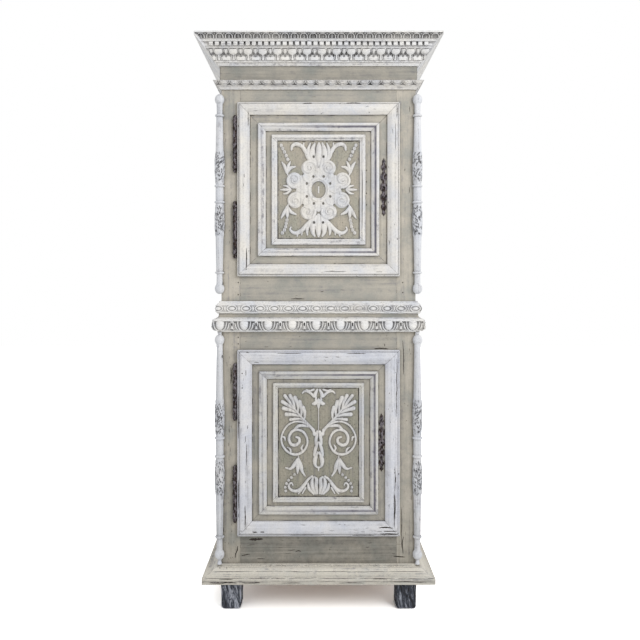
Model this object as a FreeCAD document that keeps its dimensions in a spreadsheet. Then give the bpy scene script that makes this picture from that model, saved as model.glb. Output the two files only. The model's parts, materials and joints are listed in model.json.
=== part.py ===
# Two-tier painted cabinet, one door above the other, built as separate joined pieces.
# Millimetres, +Z up, front towards -Y, origin under the middle of the outline at the floor.
import FreeCAD, Part
import os
import Sketcher
from FreeCAD import Vector

doc = FreeCAD.newDocument("cabinet")
sheet = doc.addObject("Spreadsheet::Sheet", "sizes")

# Driving sizes in millimetres, with what each one is
driving_sizes = [
    ("caseWidth", 698, "case across its two sides"),
    ("caseDepth", 480, "case from front face to back face"),
    ("footHeight", 116, "foot from the floor to the base"),
    ("footWidth", 68, "foot along the front and along the side"),
    ("footRounding", 13, "rounding of the foot's lower edges"),
    ("baseHeight", 50, "base moulding"),
    ("baseOverhang", 61, "base moulding beyond the case"),
    ("lowerSillShow", 101, "case front between base and lower door"),
    ("lowerDoorHeight", 667, "lower door over its moulding"),
    ("lowerHeadShow", 65, "case front between lower door and waist"),
    ("eggHeight", 52, "lower waist moulding"),
    ("eggOverhang", 36, "lower waist moulding beyond the case"),
    ("coveHeight", 14, "cove between the waist mouldings"),
    ("coveOverhang", 14, "cove beyond the case"),
    ("guillocheHeight", 44, "upper waist moulding"),
    ("guillocheOverhang", 22, "upper waist moulding beyond the case"),
    ("upperSillShow", 89, "case front between waist and upper door"),
    ("upperDoorHeight", 624, "upper door over its moulding"),
    ("upperHeadShow", 47, "case front between upper door and small moulding"),
    ("neckHeight", 28, "small moulding under the frieze"),
    ("neckOverhang", 27, "small moulding beyond the case"),
    ("friezeHeight", 55, "plain frieze"),
    ("friezeThickness", 5, "frieze boards on the case"),
    ("crownHeight", 98, "crown"),
    ("crownOverhang", 84, "crown beyond the case"),
    ("crownSoffit", 9, "flat under the crown's lower edge"),
    ("crownLip", 12, "upright edge along the top of the plain side crown"),
    ("crownBoardThickness", 18, "board that closes the crown"),
    ("dentilCount", 36, "dentils along the front"),
    ("dentilHeight", 13, "dentil"),
    ("dentilDepth", 8, "dentil in front of its band"),
    ("dentilGap", 7, "space between two dentils"),
    ("dentilEndInset", 12, "dentil run from the mitre at each end"),
    ("postDepth", 60, "front post from front to back"),
    ("rearPostWidth", 40, "rear post across the back"),
    ("rearPostDepth", 60, "rear post along the side"),
    ("railThickness", 26, "front rails"),
    ("sideRailThickness", 24, "side rails"),
    ("sideSetback", 3, "side rails behind the posts' faces"),
    ("sidePanelThickness", 10, "side panels"),
    ("backBoardThickness", 14, "back boards"),
    ("backBoardCount", 4, "back boards on each cupboard"),
    ("boardThickness", 20, "floors, shelves and tops"),
    ("floorStep", 6, "floor below the door opening's sill"),
    ("shelfSideGap", 1, "shelf to side panel"),
    ("cleatWidth", 18, "shelf cleats"),
    ("cleatHeight", 22, "shelf cleats"),
    ("postShow", 58, "case front beside the door, on each side"),
    ("doorLap", 12, "outer moulding over the door frame's edge"),
    ("doorGap", 2, "door frame to opening"),
    ("doorProud", 0.5, "outer moulding clear of the case front"),
    ("doorThickness", 24, "door frame"),
    ("doorMemberWidth", 77, "door stiles and rails"),
    ("panelThickness", 12, "door panels"),
    ("panelSetback", 4, "panel face behind the door frame's face"),
    ("panelTongue", 7, "panel edge in its groove"),
    ("grooveDepth", 8, "groove for the panel"),
    ("outerMouldingProud", 20, "outer door moulding"),
    ("upperOuterMoulding", 44, "width of the upper door's outer moulding"),
    ("lowerOuterMoulding", 52, "width of the lower door's outer moulding"),
    ("upperInnerOffset", 73, "upper door edge to inner moulding"),
    ("lowerInnerOffset", 77, "lower door edge to inner moulding"),
    ("innerMouldingWidth", 28, "inner door moulding"),
    ("innerMouldingProud", 11, "inner door moulding"),
    ("upperTabletOffset", 122, "upper door edge to tablet moulding, at the sides"),
    ("lowerTabletOffset", 127, "lower door edge to tablet moulding, at the sides"),
    ("tabletRise", 8, "tablet moulding nearer the door's top and foot"),
    ("upperTabletMoulding", 21, "width of the upper tablet moulding"),
    ("lowerTabletMoulding", 18, "width of the lower tablet moulding"),
    ("tabletMouldingProud", 6, "tablet moulding in front of the door frame's face"),
    ("hingeLength", 206, "hinge from finial to finial"),
    ("hingeRadius", 7, "hinge barrel"),
    ("hingeCollar", 1.4, "ring on the hinge beyond the barrel"),
    ("hingeCollarHeight", 5, "ring on the hinge"),
    ("hingeFinial", 17, "turned end of the hinge"),
    ("hingeClearance", 0.5, "barrel to case front and to moulding"),
    ("hingeJointGap", 0.4, "between the two hinge halves"),
    ("hingePinRadius", 3.5, "hinge pin"),
    ("hingePinLength", 90, "hinge pin"),
    ("pinClearance", 0.05, "pin in its hole, all round"),
    ("leafThickness", 2.6, "hinge leaves"),
    ("leafHeight", 64, "hinge leaves"),
    ("leafReach", 22, "hinge leaf in the wood"),
    ("upperIronRise", 9, "upper door's hinges and lock, taken together, above its middle"),
    ("upperHingeSpread", 154, "upper door hinges from the middle between them"),
    ("lowerHingeSpread", 183, "lower door hinges from the middle between them"),
    ("plateHeight", 208, "escutcheon"),
    ("plateWidth", 24, "escutcheon"),
    ("plateThickness", 2.2, "escutcheon"),
    ("plateHole", 2.6, "radius of the escutcheon's piercings"),
    ("plateGap", 0.5, "escutcheon to the outer moulding"),
    ("keyholeRadius", 3.4, "keyhole"),
    ("keyholeSlot", 3.2, "width of the keyhole's slot"),
    ("keyholeDrop", 10, "keyhole's slot below its round"),
    ("lockHeight", 92, "lock case"),
    ("lockWidth", 62, "lock case"),
    ("lockThickness", 17, "lock case"),
    ("lockWall", 2.5, "lock case plates"),
    ("lockEdge", 2, "lock case inside the door frame's edge"),
    ("boltLength", 52, "lock bolt"),
    ("boltHeight", 18, "lock bolt"),
    ("boltThickness", 6, "lock bolt"),
    ("boltClearance", 0.3, "bolt in its guides, all round"),
    ("boltThrow", 12, "travel of the bolt"),
    ("strikeHeight", 70, "strike plate"),
    ("strikeWidth", 18, "strike plate"),
    ("strikeThickness", 1.5, "strike plate"),
    ("strikeClearance", 1, "bolt in the strike's slot and mortise"),
    ("columnRadius", 17, "largest radius of the turned columns"),
    ("columnOffset", 6, "column axis outside the case's corner"),
    ("columnBall", 36, "ball at each end of a column"),
    ("columnNubRadius", 6, "pin at the lower columns' ends"),
    ("upperColumnLift", 26, "upper columns above the waist"),
    ("upperColumnDrop", 18, "upper columns below the small moulding"),
    ("lowerColumnLift", 16, "lower columns above the base"),
    ("lowerColumnDrop", 10, "lower columns below the waist"),
    ("cutOverrun", 5, "cutting shapes beyond what they cut"),
]

for row, (alias, size, note) in enumerate(driving_sizes, start=1):
    sheet.set(f"A{row}", note)
    sheet.set(f"B{row}", str(size))
    sheet.setAlias(f"B{row}", alias)
doc.recompute()


# The value of an expression over the sheet's named sizes
def number(expression):
    return float(sheet.evalExpression(expression))


# Places that follow from the driving sizes
half_case = "(sizes.caseWidth / 2)"
front = "((sizes.crownOverhang - sizes.caseDepth) / 2)"
back = "((sizes.crownOverhang + sizes.caseDepth) / 2)"
base_top = "(sizes.footHeight + sizes.baseHeight)"
lower_door_foot = f"({base_top} + sizes.lowerSillShow)"
lower_door_top = f"({lower_door_foot} + sizes.lowerDoorHeight)"
egg_foot = f"({lower_door_top} + sizes.lowerHeadShow)"
cove_foot = f"({egg_foot} + sizes.eggHeight)"
guilloche_foot = f"({cove_foot} + sizes.coveHeight)"
waist_top = f"({guilloche_foot} + sizes.guillocheHeight)"
case_joint = f"({cove_foot} + sizes.coveHeight / 2)"
upper_door_foot = f"({waist_top} + sizes.upperSillShow)"
upper_door_top = f"({upper_door_foot} + sizes.upperDoorHeight)"
neck_foot = f"({upper_door_top} + sizes.upperHeadShow)"
lower_iron = f"(({lower_door_foot} + {lower_door_top}) / 2)"
upper_iron = f"(({upper_door_foot} + {upper_door_top}) / 2 + sizes.upperIronRise)"
frieze_foot = f"({neck_foot} + sizes.neckHeight)"
crown_foot = f"({frieze_foot} + sizes.friezeHeight)"
crown_top = f"({crown_foot} + sizes.crownHeight)"
half_door = f"({half_case} - sizes.postShow)"
half_frame = f"({half_door} - sizes.doorLap)"
half_opening = f"({half_frame} + sizes.doorGap)"
post_width = f"({half_case} - {half_opening})"
rail_back = f"({front} + sizes.railThickness)"
post_back = f"({front} + sizes.postDepth)"
rear_post_front = f"({back} - sizes.rearPostDepth)"
board_front = f"({back} - sizes.backBoardThickness)"
side_inside = f"({half_case} - sizes.sideSetback - sizes.sideRailThickness)"
side_panel_centre = f"({half_case} - sizes.sideSetback - sizes.sideRailThickness / 2)"
side_panel_inside = f"({side_panel_centre} - sizes.sidePanelThickness / 2)"
door_face = f"({front} - sizes.doorProud)"
door_back = f"({door_face} + sizes.doorThickness)"
hinge_x = f"(-({half_door} + sizes.hingeRadius + sizes.hingeCollar + sizes.hingeClearance))"
hinge_y = f"({front} - sizes.hingeRadius - sizes.hingeCollar - sizes.hingeClearance)"
lock_right = f"({half_frame} - sizes.lockEdge)"
lock_left = f"({lock_right} - sizes.lockWidth)"
bolt_front = f"({door_back} + sizes.lockThickness / 2 - sizes.boltThickness / 2)"

nodes = []


# Every finished sub-part is labelled with its own name and kept for export
def keep(label, piece):
    piece.Label = label
    nodes.append(piece)
    return piece


# A straight board whose place and sizes are expressions over the sheet
def board(name, place, extent):
    piece = doc.addObject("Part::Box", name)
    for axis, expression in zip("xyz", place):
        piece.setExpression(f"Placement.Base.{axis}", expression)
    for side, expression in zip(("Length", "Width", "Height"), extent):
        piece.setExpression(side, expression)
    return piece


def gather(name, pieces):
    group = doc.addObject("Part::Compound", name)
    group.Links = pieces
    return group


def cut_away(name, base, tools):
    cut = doc.addObject("Part::Cut", name)
    cut.Base = base
    cut.Tool = gather(f"{name}_tools", tools)
    return cut


# A round bar along Z whose place and sizes are expressions
def bar(name, place, radius, height):
    piece = doc.addObject("Part::Cylinder", name)
    for axis, expression in zip("xyz", place):
        piece.setExpression(f"Placement.Base.{axis}", expression)
    piece.setExpression("Radius", radius)
    piece.setExpression("Height", height)
    return piece


# A shape that is worked out from the sheet's sizes in plain geometry
def shaped(name, shape):
    piece = doc.addObject("Part::Feature", name)
    piece.Shape = shape
    return piece


# Outlines are lists of points in (outward, proud); four numbers are an arc's middle and end
def profile_face(outline, corner, outward, proud):
    def place(across, up):
        return corner + outward * across + proud * up

    edges = []
    here = place(*outline[0])
    for item in outline[1:] + outline[:1]:
        there = place(*item[-2:])
        if len(item) == 4:
            edges.append(Part.Arc(here, place(*item[:2]), there).toShape())
        elif here.distanceToPoint(there) > 0:
            edges.append(Part.LineSegment(here, there).toShape())
        here = there
    return Part.Face(Part.Wire(edges))


# Shares of a moulding's reach and height, turned to millimetres
def scaled(shares, reach, height):
    factors = (reach, height, reach, height)
    return [tuple(share * factor for share, factor in zip(item, factors)) for item in shares]


# One stick of moulding along the line from start to end, cut at 45 degrees where it is mitred
def stick(outline, start, end, outward, proud, mitres):
    overrun = number("sizes.cutOverrun")
    along = (end - start).normalize()
    reach = max(across for item in outline for across in item[0::2])
    heights = [item[-1] for item in outline] + [item[1] for item in outline]
    low = min(heights) - overrun
    high = max(heights) + overrun
    first = start - along * reach * mitres[0]
    last = end + along * reach * mitres[1]
    blank = profile_face(outline, first, outward, proud).extrude(last - first)
    corners = []
    for point, sign, mitre in ((start, -1, mitres[0]), (end, 1, mitres[1])):
        for across in (-overrun, reach + overrun):
            slide = across * mitre if mitre else overrun
            corners.append(point + outward * across + along * sign * slide + proud * low)
    ring = [corners[0], corners[2], corners[3], corners[1], corners[0]]
    wedge = Part.Face(Part.makePolygon(ring)).extrude(proud * (high - low))
    return blank.common(wedge).Solids[0]


# A moulding round the front and sides of the case, its sticks front, left and right
def case_sticks(front_outline, side_outline, foot):
    half = number(half_case)
    near = number(front)
    far = number(back)
    height = number(foot)
    left = Vector(-half, near, height)
    right = Vector(half, near, height)
    upward = Vector(0, 0, 1)
    return [
        stick(front_outline, left, right, Vector(0, -1, 0), upward, (1, 1)),
        stick(side_outline, left, Vector(-half, far, height), Vector(-1, 0, 0), upward, (1, 0)),
        stick(side_outline, right, Vector(half, far, height), Vector(1, 0, 0), upward, (1, 0)),
    ]


# A mitred frame on the door, given by its inner half width and half height
def frame_sticks(outline, half_width, half_height, face, centre):
    proud = Vector(0, -1, 0)
    corners = {}
    for side in (-1, 1):
        for rise in (-1, 1):
            corners[side, rise] = Vector(side * half_width, face, centre + rise * half_height)
    return {
        "left": stick(outline, corners[-1, -1], corners[-1, 1], Vector(-1, 0, 0), proud, (1, 1)),
        "right": stick(outline, corners[1, -1], corners[1, 1], Vector(1, 0, 0), proud, (1, 1)),
        "top": stick(outline, corners[-1, 1], corners[1, 1], Vector(0, 0, 1), proud, (1, 1)),
        "foot": stick(outline, corners[-1, -1], corners[1, -1], Vector(0, 0, -1), proud, (1, 1)),
    }


def group_shape(solids):
    return Part.makeCompound(list(solids))


# Moulding outlines as shares of their overhang and height
base_shares = [
    (0, 0), (1, 0), (1, 0.44), (0.95, 0.5), (0.86, 0.5),
    (0.66, 0.57, 0.5, 0.7), (0.38, 0.82, 0.2, 0.84), (0.2, 0.92), (0.15, 0.92), (0.15, 1), (0, 1),
]
egg_shares = [
    (0, 0), (0.3, 0), (0.3, 0.08), (0.5, 0.1), (0.55, 0.16),
    (1, 0.46, 0.72, 0.78), (0.66, 0.8), (0.66, 0.92), (0.42, 0.92), (0.42, 1), (0, 1),
]
cove_shares = [(0, 0), (1, 0), (0.74, 0.2, 0.6, 0.5), (0.6, 1), (0, 1)]
guilloche_shares = [
    (0, 0), (0.5, 0), (0.55, 0.1), (0.72, 0.14), (1, 0.4, 0.72, 0.7),
    (0.5, 0.76), (0.3, 0.84), (0.3, 1), (0, 1),
]
neck_shares = [
    (0, 0), (0.16, 0), (0.2, 0.12), (0.45, 0.2, 0.6, 0.45), (0.72, 0.7, 0.9, 0.76), (1, 0.78),
    (1, 1), (0, 1),
]
crown_shares = [
    (0.19, 0.1), (0.24, 0.1), (0.24, 0.16), (0.27, 0.17),
    (0.36, 0.32, 0.56, 0.51), (0.6, 0.52), (0.6, 0.58), (0.62, 0.58), (0.62, 0.72),
    (0.74, 0.72), (0.74, 0.77), (0.78, 0.8), (0.84, 0.91, 0.95, 0.95), (1, 0.95), (1, 1), (0, 1),
]
outer_shares = [
    (1, 0), (1, 0.58), (0.97, 0.66), (0.9, 0.66), (0.86, 0.58), (0.84, 0.82),
    (0.76, 1, 0.6, 0.98), (0.3, 0.84, 0.1, 0.52), (0.03, 0.42), (0, 0.3),
]
inner_shares = [
    (1, 0.75), (0.94, 0.92), (0.78, 1), (0.62, 0.92), (0.56, 0.76),
    (0.36, 0.72, 0.14, 0.3), (0.04, 0.2), (0, 0.1),
]
tablet_shares = [
    (1, 0), (1, 0.7), (0.94, 0.9), (0.44, 0.9), (0.36, 0.66), (0.32, 0.56), (0.1, 0.5), (0, 0.3), (0, 0),
]

# Where the dentils stand on the crown, as shares of its overhang and height
dentil_band_share = 0.62
dentil_foot_share = 0.585

# Feet: square blocks with rounded lower edges
def foot(name, side_place, depth_place):
    body = doc.addObject("PartDesign::Body", f"{name}_body")
    sketch = body.newObject("Sketcher::SketchObject", f"{name}_plan")
    plane = next(item for item in body.Origin.OriginFeatures if item.Role == "XY_Plane")
    sketch.AttachmentSupport = [(plane, "")]
    sketch.MapMode = "FlatFace"
    width = number("sizes.footWidth")
    corners = [Vector(0, 0), Vector(width, 0), Vector(width, width), Vector(0, width)]
    for start, end in zip(corners, corners[1:] + corners[:1]):
        sketch.addGeometry(Part.LineSegment(start, end), False)
    start_point, end_point = 1, 2
    for line in range(4):
        sketch.addConstraint(
            Sketcher.Constraint("Coincident", line, end_point, (line + 1) % 4, start_point)
        )
    for line, direction in ((0, "Horizontal"), (1, "Vertical"), (2, "Horizontal"), (3, "Vertical")):
        sketch.addConstraint(Sketcher.Constraint(direction, line))
    sketch.addConstraint(Sketcher.Constraint("Coincident", 0, start_point, -1, 1))
    for line, kind in ((0, "DistanceX"), (1, "DistanceY")):
        row = sketch.addConstraint(
            Sketcher.Constraint(kind, line, start_point, line, end_point, width)
        )
        sketch.setExpression(f"Constraints[{row}]", "sizes.footWidth")
    block = body.newObject("PartDesign::Pad", f"{name}_block")
    block.Profile = sketch
    block.setExpression("Length", "sizes.footHeight")
    doc.recompute()
    tall = number("sizes.footHeight")
    low_edges = [
        f"Edge{count}"
        for count, edge in enumerate(block.Shape.Edges, start=1)
        if edge.BoundBox.ZMax < tall / 2
    ]
    rounding = body.newObject("PartDesign::Fillet", f"{name}_rounding")
    rounding.Base = (block, low_edges)
    rounding.setExpression("Radius", "sizes.footRounding")
    body.setExpression("Placement.Base.x", side_place)
    body.setExpression("Placement.Base.y", depth_place)
    keep(name, body)


foot_places = {"left": f"-{half_case}", "right": f"{half_case} - sizes.footWidth"}
foot_depths = {"front": front, "rear": f"{back} - sizes.footWidth"}
for depth_name, depth_place in foot_depths.items():
    for side_name, side_place in foot_places.items():
        foot(f"foot_{depth_name}_{side_name}", side_place, depth_place)

# Base: a board on the feet, and a moulding round it
base_board = board(
    "base_board",
    (f"-{half_case}", front, "sizes.footHeight"),
    ("sizes.caseWidth", "sizes.caseDepth", "sizes.boardThickness"),
)
keep("base_board", base_board)
base_outline = scaled(base_shares, number("sizes.baseOverhang"), number("sizes.baseHeight"))
base_sticks = case_sticks(base_outline, base_outline, "sizes.footHeight")
keep("base_moulding", shaped("base_moulding", group_shape(base_sticks)))


# One cupboard's case: posts, rails, sides, back, floor, top and shelf
def cupboard(tier, foot_place, top_place, door_foot, door_top, iron):
    height = f"({top_place} - {foot_place})"
    sill = f"({door_foot} + sizes.doorLap - sizes.doorGap)"
    head = f"({door_top} - sizes.doorLap + sizes.doorGap)"
    middle = f"(({door_foot} + {door_top}) / 2)"
    spread = f"sizes.{tier}HingeSpread"
    posts = []
    rear_posts = []
    for side, edge in (("left", f"-{half_case}"), ("right", f"{half_opening}")):
        posts.append(
            board(
                f"{tier}_post_blank_{side}",
                (edge, front, foot_place),
                (post_width, "sizes.postDepth", height),
            )
        )
    mortises = []
    for place, sign in (("high", "+"), ("low", "-")):
        leaf_foot = f"{iron} {sign} {spread} - sizes.hingeJointGap / 2 - sizes.leafHeight"
        mortises.append(
            board(
                f"{tier}_leaf_mortise_{place}",
                (f"{hinge_x} - sizes.leafThickness / 2", front, leaf_foot),
                ("sizes.leafThickness", "sizes.leafReach", "sizes.leafHeight"),
            )
        )
    keep(f"{tier}_post_left", cut_away(f"{tier}_post_left", posts[0], mortises))
    strike_bed = board(
        f"{tier}_strike_bed",
        (half_opening, f"{bolt_front} + sizes.boltThickness / 2 - sizes.strikeWidth / 2",
         f"{iron} - sizes.strikeHeight / 2"),
        ("sizes.strikeThickness", "sizes.strikeWidth", "sizes.strikeHeight"),
    )
    bolt_mortise = board(
        f"{tier}_bolt_mortise",
        (half_opening, f"{bolt_front} - sizes.strikeClearance",
         f"{iron} - sizes.boltHeight / 2 - sizes.strikeClearance"),
        ("sizes.boltThrow + sizes.strikeClearance",
         "sizes.boltThickness + 2 * sizes.strikeClearance",
         "sizes.boltHeight + 2 * sizes.strikeClearance"),
    )
    keep(
        f"{tier}_post_right",
        cut_away(f"{tier}_post_right", posts[1], [strike_bed, bolt_mortise]),
    )
    strike = cut_away(f"{tier}_strike_plate", strike_bed, [bolt_mortise])
    rail_size = f"2 * {half_opening}"
    sill_rail = board(f"{tier}_sill_rail", (f"-{half_opening}", front, foot_place),
                      (rail_size, "sizes.railThickness", f"{sill} - {foot_place}"))
    head_rail = board(f"{tier}_head_rail", (f"-{half_opening}", front, head),
                      (rail_size, "sizes.railThickness", f"{top_place} - {head}"))
    keep(f"{tier}_front_rails", gather(f"{tier}_front_rails", [sill_rail, head_rail]))
    for side, post_x, rail_x, panel_x in (
        ("left", f"-{half_case}", f"-({half_case} - sizes.sideSetback)",
         f"-{side_panel_centre} - sizes.sidePanelThickness / 2"),
        ("right", f"{half_case} - sizes.rearPostWidth", side_inside,
         f"{side_panel_centre} - sizes.sidePanelThickness / 2"),
    ):
        run = f"({rear_post_front} - {post_back})"
        rear_post = board(f"{tier}_rear_post_{side}", (post_x, rear_post_front, foot_place),
                          ("sizes.rearPostWidth", "sizes.rearPostDepth", height))
        rear_posts.append(rear_post)
        low_rail = board(f"{tier}_side_low_rail_{side}", (rail_x, post_back, foot_place),
                         ("sizes.sideRailThickness", run, f"{sill} - {foot_place}"))
        high_rail = board(f"{tier}_side_high_rail_{side}", (rail_x, post_back, head),
                          ("sizes.sideRailThickness", run, f"{top_place} - {head}"))
        panel = board(f"{tier}_side_panel_{side}", (panel_x, post_back, sill),
                      ("sizes.sidePanelThickness", run, f"{head} - {sill}"))
        keep(
            f"{tier}_side_{side}",
            gather(f"{tier}_side_{side}", [rear_post, low_rail, high_rail, panel]),
        )
    back_boards = []
    back_width = f"(2 * ({half_case} - sizes.rearPostWidth) / sizes.backBoardCount)"
    for count in range(int(number("sizes.backBoardCount"))):
        left_edge = f"-({half_case} - sizes.rearPostWidth) + {back_width} * {count}"
        back_boards.append(
            board(f"{tier}_back_board_{count}", (left_edge, board_front, foot_place),
                  (back_width, "sizes.backBoardThickness", height))
        )
    keep(f"{tier}_back", gather(f"{tier}_back", back_boards))
    flat_width = f"2 * {side_inside}"
    flat_depth = f"{board_front} - {rail_back}"
    for label, level in (
        (f"{tier}_floor", f"{sill} - sizes.floorStep - sizes.boardThickness"),
        (f"{tier}_top", f"{top_place} - sizes.boardThickness"),
    ):
        blank = board(f"{label}_blank", (f"-{side_inside}", rail_back, level),
                      (flat_width, flat_depth, "sizes.boardThickness"))
        keep(label, cut_away(label, blank, posts + rear_posts))
    shelf_half = f"({side_panel_inside} - sizes.shelfSideGap)"
    shelf_foot = f"({middle} - sizes.boardThickness / 2)"
    shelf_blank = board(f"{tier}_shelf_blank", (f"-{shelf_half}", post_back, shelf_foot),
                        (f"2 * {shelf_half}", f"{board_front} - {post_back}", "sizes.boardThickness"))
    keep(f"{tier}_shelf", cut_away(f"{tier}_shelf", shelf_blank, rear_posts))
    cleats = []
    for side, cleat_x in (("left", f"-{side_panel_inside}"),
                          ("right", f"{side_panel_inside} - sizes.cleatWidth")):
        cleats.append(
            board(f"{tier}_cleat_{side}", (cleat_x, post_back, f"{shelf_foot} - sizes.cleatHeight"),
                  ("sizes.cleatWidth", f"{rear_post_front} - {post_back}", "sizes.cleatHeight"))
        )
    return cleats, strike


base_board_top = "(sizes.footHeight + sizes.boardThickness)"
lower_cleats, lower_strike = cupboard(
    "lower", base_board_top, case_joint, lower_door_foot, lower_door_top, lower_iron
)
upper_cleats, upper_strike = cupboard(
    "upper", case_joint, crown_foot, upper_door_foot, upper_door_top, upper_iron
)
keep("shelf_cleats", gather("shelf_cleats", lower_cleats + upper_cleats))
keep("strike_plates", gather("strike_plates", [lower_strike, upper_strike]))

# Waist, small moulding and frieze: three mitred sticks each
for label, shares, overhang, tall, level in (
    ("waist_egg_moulding", egg_shares, "sizes.eggOverhang", "sizes.eggHeight", egg_foot),
    ("waist_cove", cove_shares, "sizes.coveOverhang", "sizes.coveHeight", cove_foot),
    ("waist_guilloche_moulding", guilloche_shares, "sizes.guillocheOverhang",
     "sizes.guillocheHeight", guilloche_foot),
    ("neck_moulding", neck_shares, "sizes.neckOverhang", "sizes.neckHeight", neck_foot),
):
    outline = scaled(shares, number(overhang), number(tall))
    keep(label, shaped(label, group_shape(case_sticks(outline, outline, level))))
frieze_size = (number("sizes.friezeThickness"), number("sizes.friezeHeight"))
frieze_outline = scaled([(0, 0), (1, 0), (1, 1), (0, 1)], *frieze_size)
keep("frieze", shaped("frieze", group_shape(case_sticks(frieze_outline, frieze_outline, frieze_foot))))

# Crown: a stepped front moulding, plain canted sides, dentils and a board on top
soffit = number("sizes.crownSoffit")
overhang = number("sizes.crownOverhang")
tall = number("sizes.crownHeight")
lip = number("sizes.crownLip")
crown_front_outline = [(0, 0), (soffit, 0)] + scaled(crown_shares, overhang, tall)
crown_side_outline = [(0, 0), (soffit, 0), (overhang, tall - lip), (overhang, tall), (0, tall)]
crown_sticks = case_sticks(crown_front_outline, crown_side_outline, crown_foot)
keep("crown_moulding", shaped("crown_moulding", group_shape(crown_sticks)))
band_reach = overhang * dentil_band_share
dentils = []
run = number("sizes.caseWidth") + 2 * (band_reach - number("sizes.dentilEndInset"))
count = int(number("sizes.dentilCount"))
pitch = run / count
dentil_width = pitch - number("sizes.dentilGap")
for place in range(count):
    corner = Vector(
        -run / 2 + pitch * place + (pitch - dentil_width) / 2,
        number(front) - band_reach - number("sizes.dentilDepth"),
        number(crown_foot) + tall * dentil_foot_share,
    )
    dentils.append(
        Part.makeBox(dentil_width, number("sizes.dentilDepth"), number("sizes.dentilHeight"), corner)
    )
keep("crown_dentils", shaped("crown_dentils", group_shape(dentils)))
crown_board = board(
    "crown_board_flat",
    (f"-{half_case}", front, f"{crown_top} - sizes.crownBoardThickness"),
    ("sizes.caseWidth", "sizes.caseDepth", "sizes.crownBoardThickness"),
)
crown_back = board(
    "crown_board_back",
    (f"-{half_case}", board_front, crown_foot),
    ("sizes.caseWidth", "sizes.backBoardThickness", "sizes.crownHeight - sizes.crownBoardThickness"),
)
keep("crown_board", gather("crown_board", [crown_board, crown_back]))


# Turned columns, the same from the middle to both ends, notched over the case's corner.
# Their outline is in shares of the half length between the balls and of the largest radius.
turning_shares = [
    (0, 0.86), (0.07, 0.82), (0.08, 1), (0.105, 1), (0.112, 0.84),
    (0.28, 1.02, 0.48, 0.88), (0.49, 0.83), (0.86, 0.72), (0.865, 0.95), (0.89, 0.95),
    (0.895, 0.7), (1, 0.68),
]
ball_tip_share = 0.42


def column(name, foot_place, length, side, nub_low, nub_high):
    radius = number("sizes.columnRadius")
    ball = number("sizes.columnBall")
    total = number(length)
    reach = total / 2 - ball
    outline = []
    for item in turning_shares:
        outline.append(tuple(share * factor for share, factor in zip(item, (reach, radius, reach, radius))))
    outline.append((total / 2 - ball / 2, radius, total / 2, radius * ball_tip_share))
    body = doc.addObject("PartDesign::Body", f"{name}_turning")
    sketch = body.newObject("Sketcher::SketchObject", f"{name}_outline")
    plane = next(item for item in body.Origin.OriginFeatures if item.Role == "XZ_Plane")
    sketch.AttachmentSupport = [(plane, "")]
    sketch.MapMode = "FlatFace"
    middle = total / 2
    tips = {}
    for way, nub in ((1, nub_high), (-1, nub_low)):
        here = Vector(outline[0][1], middle, 0)
        for item in outline[1:]:
            there = Vector(item[-1], middle + way * item[-2], 0)
            if len(item) == 4:
                bulge = Vector(item[1], middle + way * item[0], 0)
                sketch.addGeometry(Part.Arc(here, bulge, there), False)
            else:
                sketch.addGeometry(Part.LineSegment(here, there), False)
            here = there
        nub_length = number(nub)
        if nub_length > 0:
            waist = Vector(number("sizes.columnNubRadius"), here.y, 0)
            tip = Vector(waist.x, here.y + way * nub_length, 0)
            sketch.addGeometry(Part.LineSegment(here, waist), False)
            sketch.addGeometry(Part.LineSegment(waist, tip), False)
            here = tip
        tips[way] = Vector(0, here.y, 0)
        sketch.addGeometry(Part.LineSegment(here, tips[way]), False)
    sketch.addGeometry(Part.LineSegment(tips[-1], tips[1]), False)
    turning = body.newObject("PartDesign::Revolution", f"{name}_turned")
    turning.Profile = sketch
    turning.ReferenceAxis = (sketch, ["V_Axis"])
    turning.Angle = 360
    corner_x = f"-{half_case}" if side < 0 else half_case
    outside = "-" if side < 0 else "+"
    body.setExpression("Placement.Base.x", f"{corner_x} {outside} sizes.columnOffset")
    body.setExpression("Placement.Base.y", f"{front} - sizes.columnOffset")
    body.setExpression("Placement.Base.z", foot_place)
    corner_post = board(
        f"{name}_corner",
        (f"-{half_case}" if side < 0 else "0", front, f"{foot_place} - sizes.cutOverrun"),
        (half_case, "sizes.postDepth", f"{length} + 2 * sizes.cutOverrun"),
    )
    keep(name, cut_away(name, body, [corner_post]))


lower_column_foot = f"({base_top} + sizes.lowerColumnLift)"
lower_column_length = f"({egg_foot} - sizes.lowerColumnDrop - {lower_column_foot})"
upper_column_foot = f"({waist_top} + sizes.upperColumnLift)"
upper_column_length = f"({neck_foot} - sizes.upperColumnDrop - {upper_column_foot})"
for side, side_name in ((-1, "left"), (1, "right")):
    column(f"lower_column_{side_name}", lower_column_foot, lower_column_length, side,
           "sizes.lowerColumnLift", "sizes.lowerColumnDrop")
    column(f"upper_column_{side_name}", upper_column_foot, upper_column_length, side, "0", "0")


# Pierced iron escutcheon: half widths as shares of its own, from the middle to a tip
plate_shares = [
    (0, 1), (0.09, 0.94), (0.14, 0.5), (0.2, 0.42), (0.27, 0.86), (0.36, 1), (0.45, 0.8),
    (0.5, 0.34), (0.56, 0.3), (0.64, 0.74), (0.72, 0.8), (0.8, 0.46), (0.86, 0.2), (0.93, 0.26),
    (1, 0.04),
]
piercing_shares = [0.36, 0.69]


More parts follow.
